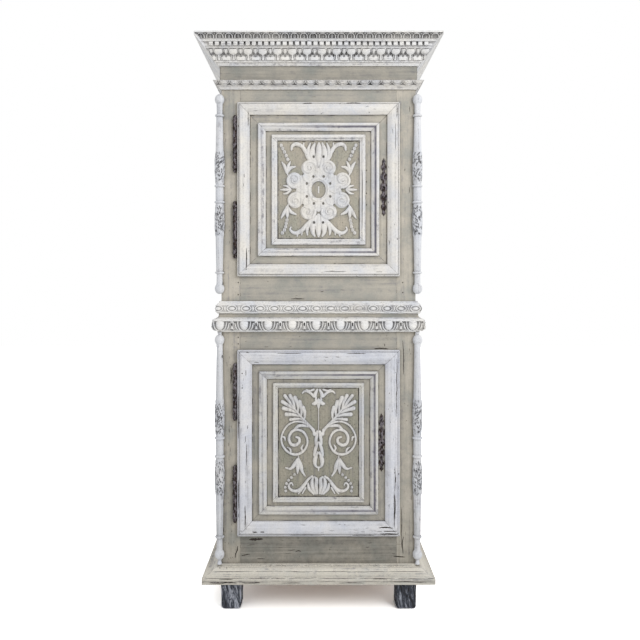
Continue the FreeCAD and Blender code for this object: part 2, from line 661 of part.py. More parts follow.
def escutcheon(name, keyhole_x, centre):
    half_width = number("sizes.plateWidth") / 2
    half_height = number("sizes.plateHeight") / 2
    body = doc.addObject("PartDesign::Body", f"{name}_body")
    plane = next(item for item in body.Origin.OriginFeatures if item.Role == "XZ_Plane")
    sketch = body.newObject("Sketcher::SketchObject", f"{name}_outline")
    sketch.AttachmentSupport = [(plane, "")]
    sketch.MapMode = "FlatFace"
    rising = [(half_width * wide, half_height * high) for high, wide in plate_shares]
    right = [(x, -z) for x, z in reversed(rising[1:])] + rising
    ring = right + [(-x, z) for x, z in reversed(right)]
    points = [Vector(x, z, 0) for x, z in ring]
    for start, end in zip(points, points[1:] + points[:1]):
        sketch.addGeometry(Part.LineSegment(start, end), False)
    plate = body.newObject("PartDesign::Pad", f"{name}_plate")
    plate.Profile = sketch
    plate.setExpression("Length", "sizes.plateThickness")
    doc.recompute()
    openings = body.newObject("Sketcher::SketchObject", f"{name}_openings")
    openings.AttachmentSupport = [(plane, "")]
    openings.MapMode = "FlatFace"
    for share in piercing_shares:
        for way in (-1, 1):
            middle = Vector(0, way * share * half_height, 0)
            openings.addGeometry(Part.Circle(middle, Vector(0, 0, 1), number("sizes.plateHole")), False)
    piercing = body.newObject("PartDesign::Pocket", f"{name}_piercing")
    piercing.Profile = openings
    piercing.Type = "ThroughAll"
    piercing.Midplane = True
    body.setExpression("Placement.Base.x", keyhole_x)
    body.setExpression("Placement.Base.y", door_face)
    body.setExpression("Placement.Base.z", centre)
    return body


# Share of the hinge's barrel radius that its end knob has
knob_share = 0.7


# One side-hung lift-off hinge: the half on the case below, the half on the door above
def hinge(name, joint):
    half_length = "(sizes.hingeLength / 2 - sizes.hingeFinial)"
    halves = {}
    for half in ("case", "door"):
        way = -1 if half == "case" else 1
        near = f"({joint} + {way} * sizes.hingeJointGap / 2)"
        barrel_foot = near if way > 0 else f"{near} - {half_length}"
        axis_place = (hinge_x, hinge_y)
        pieces = [bar(f"{name}_{half}_barrel", axis_place + (barrel_foot,), "sizes.hingeRadius",
                      half_length)]
        for count, rise in enumerate(("0", f"{half_length} - sizes.hingeCollarHeight")):
            pieces.append(
                bar(f"{name}_{half}_collar_{count}", axis_place + (f"{barrel_foot} + {rise}",),
                    "sizes.hingeRadius + sizes.hingeCollar", "sizes.hingeCollarHeight")
            )
        urn = doc.addObject("Part::Cone", f"{name}_{half}_urn")
        knob = doc.addObject("Part::Sphere", f"{name}_{half}_knob")
        for axis, expression in zip("xy", axis_place):
            urn.setExpression(f"Placement.Base.{axis}", expression)
            knob.setExpression(f"Placement.Base.{axis}", expression)
        far = f"{near} + {way} * {half_length}"
        urn_height = "(sizes.hingeFinial - sizes.hingeRadius)"
        urn.setExpression("Height", urn_height)
        wide, slim = "sizes.hingeRadius", "sizes.hingeRadius / 2"
        urn.setExpression("Radius1", wide if way > 0 else slim)
        urn.setExpression("Radius2", slim if way > 0 else wide)
        urn.setExpression("Placement.Base.z", far if way > 0 else f"{far} - {urn_height}")
        knob_radius = f"(sizes.hingeRadius * {knob_share})"
        knob.setExpression("Radius", knob_radius)
        knob.setExpression("Placement.Base.z",
                           f"{near} + {way} * (sizes.hingeLength / 2 - {knob_radius})")
        pieces += [urn, knob]
        leaf_foot = near if way > 0 else f"{near} - sizes.leafHeight"
        if half == "case":
            leaf_place = (f"{hinge_x} - sizes.leafThickness / 2", hinge_y, leaf_foot)
            leaf_size = ("sizes.leafThickness", f"{front} + sizes.leafReach - {hinge_y}",
                         "sizes.leafHeight")
        else:
            leaf_place = (hinge_x, f"{hinge_y} - sizes.leafThickness / 2", leaf_foot)
            leaf_size = (f"sizes.leafReach - {half_door} - {hinge_x}",
                         "sizes.leafThickness", "sizes.leafHeight")
        pieces.append(board(f"{name}_{half}_leaf", leaf_place, leaf_size))
        joined = doc.addObject("Part::MultiFuse", f"{name}_{half}_joined")
        joined.Shapes = pieces
        hole_foot = joint if way > 0 else f"{joint} - sizes.hingePinLength / 2"
        hole = bar(f"{name}_{half}_hole", axis_place + (f"{hole_foot} - sizes.hingeJointGap",),
                   "sizes.hingePinRadius + sizes.pinClearance",
                   "sizes.hingePinLength / 2 + 2 * sizes.hingeJointGap")
        drilled = doc.addObject("Part::Cut", f"{name}_{half}_half")
        drilled.Base = joined
        drilled.Tool = hole
        halves[half] = drilled
    pin_foot = f"{joint} - sizes.hingePinLength / 2 - sizes.hingeJointGap"
    halves["pin"] = bar(f"{name}_pin", (hinge_x, hinge_y, pin_foot), "sizes.hingePinRadius",
                        "sizes.hingePinLength")
    return halves


# Keyhole: a round with a slot below it, cut from front to back
def keyhole_shape(keyhole_x, centre, start, depth):
    middle = Vector(number(keyhole_x), start, centre)
    through = Vector(0, 1, 0)
    slot = number("sizes.keyholeSlot")
    drop = number("sizes.keyholeDrop")
    round_part = Part.makeCylinder(number("sizes.keyholeRadius"), depth, middle, through)
    slot_part = Part.makeBox(slot, depth, drop, middle - Vector(slot / 2, 0, drop))
    return round_part.fuse(slot_part)


# One door with its frame, panel, mouldings, hinges, escutcheon and lock
def door(tier, door_foot, door_top, iron):
    middle = f"(({door_foot} + {door_top}) / 2)"
    centre = number(middle)
    half_width = number(half_door)
    half_height = number(f"({door_top} - {door_foot}) / 2")
    face = number(door_face)
    lap = number("sizes.doorLap")
    member = number("sizes.doorMemberWidth")
    thick = number("sizes.doorThickness")
    setback = number("sizes.panelSetback")
    panel_thick = number("sizes.panelThickness")
    groove = number("sizes.grooveDepth")
    inner_reach = lap + member
    frame_outline = [
        (0, 0), (member, 0), (member, -thick), (0, -thick), (0, -setback - panel_thick),
        (groove, -setback - panel_thick), (groove, -setback), (0, -setback),
    ]
    overrun = number("sizes.cutOverrun")
    plate_edge = f"({half_door} - sizes.{tier}OuterMoulding - sizes.plateGap)"
    keyhole_x = f"({plate_edge} - sizes.plateWidth / 2)"
    iron_level = number(iron)
    keyhole = keyhole_shape(keyhole_x, iron_level, face - overrun, 2 * overrun + thick)
    frame = frame_sticks(frame_outline, half_width - inner_reach, half_height - inner_reach, face, centre)
    frame["right"] = frame["right"].cut(keyhole)
    keep(f"{tier}_door_frame", shaped(f"{tier}_door_frame", group_shape(frame.values())))

    panel_half = f"({half_frame} - sizes.doorMemberWidth + sizes.panelTongue)"
    panel_rise = f"(({door_top} - {door_foot}) / 2 - {half_door} + {panel_half})"
    keep(
        f"{tier}_door_panel",
        board(f"{tier}_door_panel",
              (f"-{panel_half}", f"{door_face} + sizes.panelSetback", f"{middle} - {panel_rise}"),
              (f"2 * {panel_half}", "sizes.panelThickness", f"2 * {panel_rise}")),
    )

    outer_width = number(f"sizes.{tier}OuterMoulding")
    outer_outline = [(0, 0)] + scaled(outer_shares, outer_width, number("sizes.outerMouldingProud"))
    outer = frame_sticks(outer_outline, half_width - outer_width, half_height - outer_width, face, centre)
    spread = number(f"sizes.{tier}HingeSpread")
    leaf = number("sizes.leafThickness")
    for way in (-1, 1):
        bed_corner = Vector(
            -half_width - overrun,
            number(hinge_y) - leaf / 2,
            iron_level + way * spread + number("sizes.hingeJointGap") / 2,
        )
        bed = Part.makeBox(number("sizes.leafReach") + overrun, leaf, number("sizes.leafHeight"), bed_corner)
        outer["left"] = outer["left"].cut(bed)
    keep(f"{tier}_door_outer_moulding",
         shaped(f"{tier}_door_outer_moulding", group_shape(outer.values())))

    inner_width = number("sizes.innerMouldingWidth")
    inner_offset = number(f"sizes.{tier}InnerOffset")
    step = inner_offset + inner_width - inner_reach
    inner_outline = [(0, -setback), (step, -setback), (step, 0), (inner_width, 0)]
    inner_outline += scaled(inner_shares, inner_width, number("sizes.innerMouldingProud"))
    inner_inset = inner_offset + inner_width
    inner = frame_sticks(inner_outline, half_width - inner_inset, half_height - inner_inset, face, centre)
    keep(f"{tier}_door_inner_moulding",
         shaped(f"{tier}_door_inner_moulding", group_shape(inner.values())))

    tablet_width = number(f"sizes.{tier}TabletMoulding")
    tablet_inset = number(f"sizes.{tier}TabletOffset") + tablet_width
    tablet_rise = tablet_inset - number("sizes.tabletRise")
    tablet_tall = number("sizes.tabletMouldingProud") + setback
    tablet_outline = scaled(tablet_shares, tablet_width, tablet_tall)
    tablet = frame_sticks(
        tablet_outline, half_width - tablet_inset, half_height - tablet_rise, face + setback, centre
    )
    keep(f"{tier}_door_tablet_moulding",
         shaped(f"{tier}_door_tablet_moulding", group_shape(tablet.values())))

    hinges = [hinge(f"{tier}_high_hinge", f"({iron} + sizes.{tier}HingeSpread)"),
              hinge(f"{tier}_low_hinge", f"({iron} - sizes.{tier}HingeSpread)")]
    keep(f"{tier}_hinge_case_halves",
         gather(f"{tier}_hinge_case_halves", [item["case"] for item in hinges]))
    keep(f"{tier}_hinge_door_halves",
         gather(f"{tier}_hinge_door_halves", [item["door"] for item in hinges]))

    plate = escutcheon(f"{tier}_escutcheon_plate", keyhole_x, iron)
    plate_key = shaped(f"{tier}_escutcheon_keyhole", keyhole)
    keep(f"{tier}_escutcheon", cut_away(f"{tier}_escutcheon", plate, [plate_key]))

    lock_case = board(
        f"{tier}_lock_case_block",
        (lock_left, door_back, f"{iron} - sizes.lockHeight / 2"),
        ("sizes.lockWidth", "sizes.lockThickness", "sizes.lockHeight"),
    )
    bolt_way = board(
        f"{tier}_bolt_way",
        (f"{lock_right} - sizes.boltLength - sizes.boltClearance",
         f"{bolt_front} - sizes.boltClearance",
         f"{iron} - sizes.boltHeight / 2 - sizes.boltClearance"),
        ("sizes.boltLength + sizes.boltClearance + sizes.cutOverrun",
         "sizes.boltThickness + 2 * sizes.boltClearance",
         "sizes.boltHeight + 2 * sizes.boltClearance"),
    )
    key_way = shaped(
        f"{tier}_key_way",
        keyhole_shape(keyhole_x, iron_level, number(door_back) - overrun,
                      overrun + number("sizes.lockWall")),
    )
    keep(f"{tier}_lock_case", cut_away(f"{tier}_lock_case", lock_case, [bolt_way, key_way]))
    keep(
        f"{tier}_lock_bolt",
        board(f"{tier}_lock_bolt",
              (f"{lock_right} - sizes.boltLength", bolt_front, f"{iron} - sizes.boltHeight / 2"),
              ("sizes.boltLength", "sizes.boltThickness", "sizes.boltHeight")),
    )
    return [item["pin"] for item in hinges]


lower_pins = door("lower", lower_door_foot, lower_door_top, lower_iron)
upper_pins = door("upper", upper_door_foot, upper_door_top, upper_iron)
keep("hinge_pins", gather("hinge_pins", lower_pins + upper_pins))

# Recompute, test every object, then write one file for each sub-part
doc.recompute()
for item in doc.Objects:
    if "Invalid" in item.State or "Error" in item.State:
        raise RuntimeError(f"{item.Label} could not be recomputed")
os.makedirs("parts", exist_ok=True)
for piece in nodes:
    if piece.Shape.isNull() or not piece.Shape.isValid():
        raise RuntimeError(f"{piece.Label} has no valid shape")
    piece.Shape.exportStep(os.path.join("parts", f"{piece.Label}.step"))
print(len(nodes), "sub-parts,", sum(len(piece.Shape.Solids) for piece in nodes), "solids")
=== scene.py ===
import json
import math

import bmesh
import bpy
import numpy as np
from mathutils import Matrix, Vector, noise
from mathutils.bvhtree import BVHTree


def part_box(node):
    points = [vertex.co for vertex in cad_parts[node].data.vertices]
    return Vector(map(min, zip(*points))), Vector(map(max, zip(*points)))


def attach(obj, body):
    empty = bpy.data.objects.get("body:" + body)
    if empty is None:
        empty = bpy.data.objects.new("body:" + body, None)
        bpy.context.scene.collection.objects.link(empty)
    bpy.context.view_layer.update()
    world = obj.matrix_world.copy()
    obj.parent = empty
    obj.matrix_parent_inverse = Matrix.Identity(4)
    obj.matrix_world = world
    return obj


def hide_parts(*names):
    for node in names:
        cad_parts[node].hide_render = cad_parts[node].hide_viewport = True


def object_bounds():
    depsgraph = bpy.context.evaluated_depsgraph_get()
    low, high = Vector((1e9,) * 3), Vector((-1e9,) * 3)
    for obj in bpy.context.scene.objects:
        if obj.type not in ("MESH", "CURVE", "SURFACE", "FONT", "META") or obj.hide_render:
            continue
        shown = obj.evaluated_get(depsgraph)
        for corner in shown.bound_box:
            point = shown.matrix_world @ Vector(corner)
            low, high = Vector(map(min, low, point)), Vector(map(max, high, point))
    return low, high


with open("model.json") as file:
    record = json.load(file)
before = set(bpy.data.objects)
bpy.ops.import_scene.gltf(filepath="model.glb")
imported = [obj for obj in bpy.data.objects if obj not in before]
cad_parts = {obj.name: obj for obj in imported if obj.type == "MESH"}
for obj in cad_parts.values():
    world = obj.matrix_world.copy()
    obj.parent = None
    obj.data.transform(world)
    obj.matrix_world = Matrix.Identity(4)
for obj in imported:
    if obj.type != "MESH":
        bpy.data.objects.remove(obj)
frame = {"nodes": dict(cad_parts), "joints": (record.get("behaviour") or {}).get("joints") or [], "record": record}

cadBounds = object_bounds()
nodes = frame["nodes"]
subparts = frame["record"]["subparts"]

# Places that the pieces below share, all read from the frame, in metres
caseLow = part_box("lower_post_left")[0]
caseHalf = -caseLow.x
caseFront = caseLow.y
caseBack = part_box("lower_back")[1].y
tiers = ("upper", "lower")
mm = 0.001
merged = 0.02 * mm     # corners nearer than this are one
onPlane = 0.0001 * mm


def linear(hexColour):  # an sRGB hex colour as the shaders want it
    parts = [int(hexColour[place:place + 2], 16) / 255 for place in (1, 3, 5)]
    lit = [part / 12.92 if part <= 0.04045 else ((part + 0.055) / 1.055) ** 2.4 for part in parts]
    return (*lit, 1.0)


def addNode(tree, kind, inputs=None, stops=None, **settings):
    node = tree.nodes.new(f"ShaderNode{kind}" if tree.type == "SHADER" else kind)
    for name, value in settings.items():
        setattr(node, name, value)
    for count, (place, tone) in enumerate((stops or {}).items()):  # the stops of a colour ramp
        ramp = node.color_ramp.elements
        if count == 0:
            ramp.remove(ramp[-1])
            ramp[0].position = place
        stop = ramp.new(place) if count else ramp[0]
        stop.color = linear(tone)
    for socket, value in (inputs or {}).items():
        if isinstance(value, bpy.types.Node):  # a node stands for its first output
            value = value.outputs[0]
        if isinstance(value, bpy.types.NodeSocket):
            tree.links.new(value, node.inputs[socket])
        else:
            node.inputs[socket].default_value = value
    return node


def newMaterial(name):
    material = bpy.data.materials.new(name)
    material.use_nodes = True
    material.node_tree.nodes.clear()
    return material, material.node_tree


# Grain directions: how a pattern is drawn out along X, Y or Z
grainStretch = 1 / 34
alongX = (grainStretch, 1, 1)
alongY = (1, grainStretch, 1)
alongZ = (1, 1, grainStretch)


# Which of two grain directions a point has, for mitred frames and framed sides, and the mitre's open seam
def grainMask(tree, position, kind, facts):
    parts = addNode(tree, "SeparateXYZ", {0: position}).outputs
    if kind == "side":  # the rails of a framed side, between its posts
        railLow, railHigh, postBack, postFront = facts
        low = addNode(tree, "Math", {0: parts["Z"], 1: railLow}, operation="LESS_THAN")
        high = addNode(tree, "Math", {0: parts["Z"], 1: railHigh}, operation="GREATER_THAN")
        rails = addNode(tree, "Math", {0: low, 1: high}, operation="MAXIMUM")
        past = addNode(tree, "Math", {0: parts["Y"], 1: postBack}, operation="GREATER_THAN")
        short = addNode(tree, "Math", {0: parts["Y"], 1: postFront}, operation="LESS_THAN")
        between = addNode(tree, "Math", {0: past, 1: short}, operation="MULTIPLY")
        mask = addNode(tree, "Math", {0: rails, 1: between}, operation="MULTIPLY")
        return mask, None, None
    absX = addNode(tree, "Math", {0: parts["X"]}, operation="ABSOLUTE")
    halfWidth, halfHeight, centre = facts or (caseHalf, 0, caseFront)
    sideways = addNode(tree, "Math", {0: absX, 1: halfWidth}, operation="SUBTRACT")
    if kind == "door":  # upright sticks where the side is nearer than the top or foot
        rise = addNode(tree, "Math", {0: parts["Z"], 1: centre}, operation="SUBTRACT")
        rise = addNode(tree, "Math", {0: rise}, operation="ABSOLUTE")
        other = addNode(tree, "Math", {0: rise, 1: halfHeight}, operation="SUBTRACT")
    else:  # the side returns, past the mitre
        other = addNode(tree, "Math", {0: centre, 1: parts["Y"]}, operation="SUBTRACT")
    mask = addNode(tree, "Math", {0: sideways, 1: other}, operation="GREATER_THAN")
    if kind == "crown":
        return mask, None, None
    off = addNode(tree, "Math", {0: sideways, 1: other}, operation="SUBTRACT")
    off = addNode(tree, "Math", {0: off}, operation="ABSOLUTE")
    wide = distemper["seamWidth"] * mm
    seam = addNode(tree, "MapRange", {"Value": off, "From Min": wide, "From Max": wide / 2})
    outmost = addNode(tree, "Math", {0: sideways, 1: other}, operation="MAXIMUM")
    return mask, seam, outmost


# Distemper on oak: chalky and dead matt, thin enough to show the oak's long grain as ridges,
# rubbed off arrises, with painted shade and dirt in the hollows, checks along the grain and worm holes.
distemper = {
    "tones": {  # of the cool, rosy and straw patches in each paint
        "grey": ("#A0A19B", "#B1ADA4", "#BEB8AC"),
        "post": ("#ABAAA3", "#BFB9AD", "#CCC5B9"),
        "door": ("#A7A79F", "#B9B4AA", "#C6C0B3"),
        "white": ("#DADCE1", "#E5E3E1", "#ECE8E1"),
        "chalk": ("#E3E5EA", "#EEEDEC", "#F4F1EC"),      # the case's carved mouldings
        "blueWhite": ("#D5D8E2", "#E2E3E9", "#EAE9EB"),  # the lower door's broad moulding, a cooler white: painted shade low down
        "dullWhite": ("#D2D4DA", "#DAD9D7", "#E1DED6"),  # the lower door's small mouldings, a cooler, darker white: painted shade low down
        "cream": ("#D9D7CF", "#E1DCD1", "#E6E1D4"),      # the base
        "turned": ("#D6D9E1", "#DFE1E6", "#E7E7EA"),     # the columns, the coolest white of all
    },
    "woodTone": "#3A322B",        # old oak where the paint is gone
    "deepTone": "#1D1815",        # painted shade, nearly black, deep in the hollows; also the tablets' dark spots
    "thinTone": "#85838A",        # paint rubbed thin, where the oak shows through it
    # painted shade with dirt in the hollows: its tone and usual share, for white and for grey paint
    "shadeAndGrime": {"white": ("#77757A", 0.42), "grey": ("#6B6659", 0.44)},
    # painted shade in the hollow of the inner mouldings
    "quirkShadeTone": "#66636F",
    # the tone of the darkening by height: painted shade with soil
    "shadeAndSoilTone": "#55524A",
    "patchShares": (0.34, 0.5, 0.66),
    "groundShares": (0.38, 0.62),
    "patchSize": 95,              # millimetres, as are the sizes below
    "rubSize": 22,
    "streakWidth": 2.2,
    "grainWidth": 0.9,
    "speckleSize": 4.5,
    "speckle": {"white": 0.9, "grey": 0.92},  # how dark its spots are
    "checkSpacing": 46,
    "checkWidth": 0.42,
    "checkLength": 24,
    "holeSpacing": 34,
    "holeRadius": 1.1,
    "seamWidth": 0.9,
    "reliefBand": 1.1,
    "quirkHalf": 6,
    "quirkShare": 0.95,
    "edgeRadius": 3.0,
    # how far the painted shade in the hollows reaches
    "shadeAndGrimeReach": 13,
    "bumpDepth": 0.5,
    "roughness": (0.66, 0.86),
    # how far the paint is darkened by height in metres: painted shade low down, under the lower door and on the
    # frieze under the crown, with soil
    "whiteShadeAndSoil": [(0.0, 0.36), (0.130, 0.3), (0.138, 0.06), (0.166, 0.0), (0.26, 0.2), (0.34, 0.1),
                  (0.93, 0.08), (0.94, 0.0)],
    "greyShadeAndSoil": [(0.0, 0.3), (0.2, 0.36), (0.26, 0.3), (0.36, 0.18), (0.93, 0.16), (0.94, 0.06),
                 (1.1, 0.0), (1.88, 0.0), (1.9, 0.2)],
    "railShadeAndSoil": [(0.0, 0.6), (0.262, 0.54), (0.27, 0.1), (0.94, 0.08), (1.1, 0.04), (1.2, 0.0)],
    "shadeAndSoilTop": 2.05,
}


def distemperOak(name, paint, grain, shadeAndSoil="whiteShadeAndSoil", wear=0.5, relief=None, hollows=(0.98, 0.6),
                 shadeAndGrime=None, quirk=None):
    material, tree = newMaterial(name)
    facts = distemper
    colourOf = "white" if shadeAndSoil == "whiteShadeAndSoil" else "grey"
    place = addNode(tree, "TexCoord").outputs["Object"]
    inMillimetres = addNode(tree, "VectorMath", {0: place, "Scale": 1 / mm}, operation="SCALE")
    stretch = addNode(tree, "CombineXYZ", dict(enumerate(grain[0])))
    seam, outmost = None, None
    if len(grain) > 1:
        mask, seam, outmost = grainMask(tree, place, grain[2], grain[3])
        other = addNode(tree, "CombineXYZ", dict(enumerate(grain[1])))
        stretch = addNode(tree, "Mix", {0: mask, 4: stretch, 5: other}, data_type="VECTOR").outputs[1]
    along = addNode(tree, "VectorMath", {0: inMillimetres, 1: stretch}, operation="MULTIPLY")

    patches = addNode(tree, "TexNoise", {"Vector": inMillimetres, "Scale": 1 / facts["patchSize"],
                                         "Detail": 5, "Roughness": 0.66})
    streaks = addNode(tree, "TexNoise", {"Vector": along, "Scale": 1 / facts["streakWidth"] / 4,
                                         "Detail": 5, "Roughness": 0.62})
    fibres = addNode(tree, "TexNoise",
                     {"Vector": along, "Scale": 1 / facts["grainWidth"], "Detail": 2, "Roughness": 0.7})
    stops = dict(zip(facts["patchShares"], facts["tones"][paint]))
    colour = addNode(tree, "ValToRGB", {"Fac": patches}, stops)
    if relief:  # the carved tablets: white on what stands up, grey on the ground behind it
        level, groundTones = relief
        depth = addNode(tree, "SeparateXYZ", {0: place}).outputs["Y"]
        heightMask = addNode(tree, "MapRange", {"Value": depth, "From Min": level,
                                                "From Max": level - facts["reliefBand"] * mm})
        ground = addNode(tree, "ValToRGB", {"Fac": patches}, dict(zip(facts["groundShares"], groundTones)))
        colour = addNode(tree, "Mix", {0: heightMask, 6: ground, 7: colour}, data_type="RGBA").outputs[2]

    streakShade = addNode(tree, "MapRange", {"Value": streaks, "From Min": 0.3, "From Max": 0.7,
                                             "To Min": 0.9, "To Max": 1.06})
    fibreShade = addNode(tree, "MapRange", {"Value": fibres, "From Min": 0.25, "From Max": 0.6,
                                            "To Min": 0.91, "To Max": 1.0})
    shade = addNode(tree, "Math", {0: streakShade, 1: fibreShade}, operation="MULTIPLY")
    speckle = addNode(tree, "TexNoise", {"Vector": inMillimetres, "Scale": 1 / facts["speckleSize"],
                                         "Detail": 3, "Roughness": 0.75})
    deepest = facts["speckle"][colourOf]
    speckle = addNode(tree, "MapRange", {"Value": speckle, "From Min": 0.36, "From Max": 0.56,
                                         "To Min": deepest, "To Max": 1.03})
    shade = addNode(tree, "Math", {0: shade, 1: speckle}, operation="MULTIPLY")
    colour = addNode(tree, "VectorMath", {0: colour, "Scale": shade}, operation="SCALE")

    rubbed = addNode(tree, "TexNoise", {"Vector": inMillimetres, "Scale": 1 / facts["rubSize"],
                                        "Detail": 6, "Roughness": 0.72})
    both = addNode(tree, "Math", {0: streaks, 1: rubbed}, operation="ADD")
    thin = addNode(tree, "MapRange", {"Value": both, "From Min": 0.93, "From Max": 0.76, "To Max": wear})
    colour = addNode(tree, "Mix", {0: thin, 6: colour, 7: linear(facts["thinTone"])},
                     data_type="RGBA").outputs[2]

    # darker by height, along the ramps above: painted shade with soil
    height = addNode(tree, "SeparateXYZ", {0: place}).outputs["Z"]
    height = addNode(tree, "Math", {0: height, 1: facts["shadeAndSoilTop"]}, operation="DIVIDE")
    shadedAndSoiled = addNode(tree, "ValToRGB", {"Fac": height})
    ramp = shadedAndSoiled.color_ramp.elements
    for level, share in facts[shadeAndSoil]:
        stop = ramp[0] if level == 0 else ramp.new(level / facts["shadeAndSoilTop"])
        stop.color = (share, share, share, 1)
    ramp.remove(ramp[-1])
    uneven = addNode(tree, "MapRange",
                     {"Value": both, "From Min": 0.8, "From Max": 1.2, "To Min": 1.28, "To Max": 0.74})
    shadedAndSoiled = addNode(tree, "Math", {0: shadedAndSoiled, 1: uneven}, operation="MULTIPLY")
    colour = addNode(tree, "Mix", {0: shadedAndSoiled, 6: colour, 7: linear(facts["shadeAndSoilTone"])},
                     data_type="RGBA").outputs[2]

    # Painted shade with dirt in the hollows, from ambient occlusion; nearer black deeper in, and where the carving
    # marked its hollows
    hollow = addNode(tree, "AmbientOcclusion", {"Distance": facts["shadeAndGrimeReach"] * mm}, samples=6)
    shadeAndGrimeTone, usual = facts["shadeAndGrime"][colourOf]
    shadeAndDirt = addNode(tree, "MapRange", {"Value": hollow.outputs["AO"], "From Min": 0.9, "From Max": 0.4,
                                      "To Min": 0, "To Max": shadeAndGrime or usual})
    colour = addNode(tree, "Mix", {0: shadeAndDirt, 6: colour, 7: linear(shadeAndGrimeTone)}, data_type="RGBA").outputs[2]
    deep = addNode(tree, "MapRange", {"Value": hollow.outputs["AO"], "From Min": 0.42, "From Max": 0.2,
                                      "To Min": 0, "To Max": 0.92})
    carved = addNode(tree, "Attribute", attribute_name="hollow").outputs["Fac"]  # the carving's marks: painted shade in its hollows, and the tablets' dark spots
    carvedShare = addNode(tree, "MapRange", {"Value": patches, "From Min": 0.35, "From Max": 0.6,
                                             "To Min": hollows[0], "To Max": hollows[1]})
    carved = addNode(tree, "Math", {0: carved, 1: carvedShare}, operation="MULTIPLY")
    deep = addNode(tree, "Math", {0: deep, 1: carved}, operation="MAXIMUM")
    colour = addNode(tree, "Mix", {0: deep, 6: colour, 7: linear(facts["deepTone"])},
                     data_type="RGBA").outputs[2]

    if quirk:  # painted shade in the hollow of an inner moulding, darkest towards the lock side
        half, share = facts["quirkHalf"] * mm, facts["quirkShare"]
        off = addNode(tree, "Math", {0: outmost, 1: quirk}, operation="ADD")
        off = addNode(tree, "Math", {0: off}, operation="ABSOLUTE")
        band = addNode(tree, "MapRange", {"Value": off, "From Min": half, "From Max": half / 4})
        reach = addNode(tree, "SeparateXYZ", {0: place}).outputs["X"]
        reach = addNode(tree, "MapRange", {"Value": reach, "From Min": -caseHalf / 2,
                                           "From Max": caseHalf / 2, "To Min": share / 5, "To Max": share})
        band = addNode(tree, "Math", {0: band, 1: reach}, operation="MULTIPLY")
        band = addNode(tree, "Math", {0: band, 1: uneven}, operation="MULTIPLY")
        colour = addNode(tree, "Mix", {0: band, 6: colour, 7: linear(facts["quirkShadeTone"])},
                         data_type="RGBA").outputs[2]

    checks = addNode(tree, "TexVoronoi", {"Vector": along, "Scale": 1 / facts["checkSpacing"]},
                     feature="DISTANCE_TO_EDGE")
    widest = facts["checkWidth"] / facts["checkSpacing"]
    check = addNode(tree, "MapRange", {"Value": checks, "From Min": widest, "From Max": widest / 3})
    breaks = addNode(tree, "TexNoise",
                     {"Vector": inMillimetres, "Scale": 1 / facts["checkLength"], "Detail": 3})
    opened = addNode(tree, "MapRange", {"Value": breaks, "From Min": 0.69, "From Max": 0.73})
    check = addNode(tree, "Math", {0: check, 1: opened}, operation="MULTIPLY")

    worm = addNode(tree, "TexVoronoi", {"Vector": inMillimetres, "Scale": 1 / facts["holeSpacing"]})
    holeShare = facts["holeRadius"] / facts["holeSpacing"]
    hole = addNode(tree, "MapRange", {"Value": worm, "From Min": holeShare, "From Max": holeShare * 0.7})
    chosen = addNode(tree, "SeparateColor", {0: worm.outputs["Color"]})
    chosen = addNode(tree, "Math", {0: chosen, 1: 0.7}, operation="GREATER_THAN")
    hole = addNode(tree, "Math", {0: hole, 1: chosen}, operation="MULTIPLY")

    soft = addNode(tree, "Bevel", {"Radius": facts["edgeRadius"] * mm}, samples=4)
    sharp = addNode(tree, "NewGeometry")
    turn = addNode(tree, "VectorMath", {0: soft, 1: sharp.outputs["Normal"]},
                   operation="DOT_PRODUCT").outputs["Value"]
    edge = addNode(tree, "MapRange", {"Value": turn, "From Min": 0.97, "From Max": 0.8})
    worn = addNode(tree, "MapRange",
                   {"Value": rubbed, "From Min": 0.6 - wear * 0.16, "From Max": 0.66 - wear * 0.12})
    edge = addNode(tree, "Math", {0: edge, 1: worn}, operation="MULTIPLY")
    bare = addNode(tree, "Math", {0: check, 1: hole}, operation="MAXIMUM")
    bare = addNode(tree, "Math", {0: bare, 1: edge}, operation="MAXIMUM")
    if seam:
        gape = addNode(tree, "MapRange",
                       {"Value": rubbed, "From Min": 0.44, "From Max": 0.6, "To Min": 0.95, "To Max": 0.12})
        seam = addNode(tree, "Math", {0: seam, 1: gape}, operation="MULTIPLY")
        bare = addNode(tree, "Math", {0: bare, 1: seam}, operation="MAXIMUM")
    colour = addNode(tree, "Mix", {0: bare, 6: colour, 7: linear(facts["woodTone"])},
                     data_type="RGBA").outputs[2]

    pores = addNode(tree, "Math", {0: fibres, 1: streaks}, operation="ADD")
    pores = addNode(tree, "Math", {0: pores, 1: bare}, operation="SUBTRACT")
    bump = addNode(tree, "Bump",
                   {"Height": pores, "Strength": 0.55, "Normal": soft, "Distance": facts["bumpDepth"] * mm})
    dull = addNode(tree, "MapRange", {"Value": streaks, "From Min": 0.3, "From Max": 0.7,
                                      "To Min": facts["roughness"][0], "To Max": facts["roughness"][1]})
    coat = addNode(tree, "BsdfPrincipled",
                   {"Base Color": colour, "Roughness": dull, "Specular IOR Level": 0.25, "Normal": bump})
    addNode(tree, "OutputMaterial", {0: coat})
    return material


# Sawn oak, never painted: brown, dull, with darker growth lines along the board
sawnOak = {"light": "#8C6A47", "dark": "#5A3E27", "lineWidth": 7, "roughness": 0.82, "depth": 0.4}


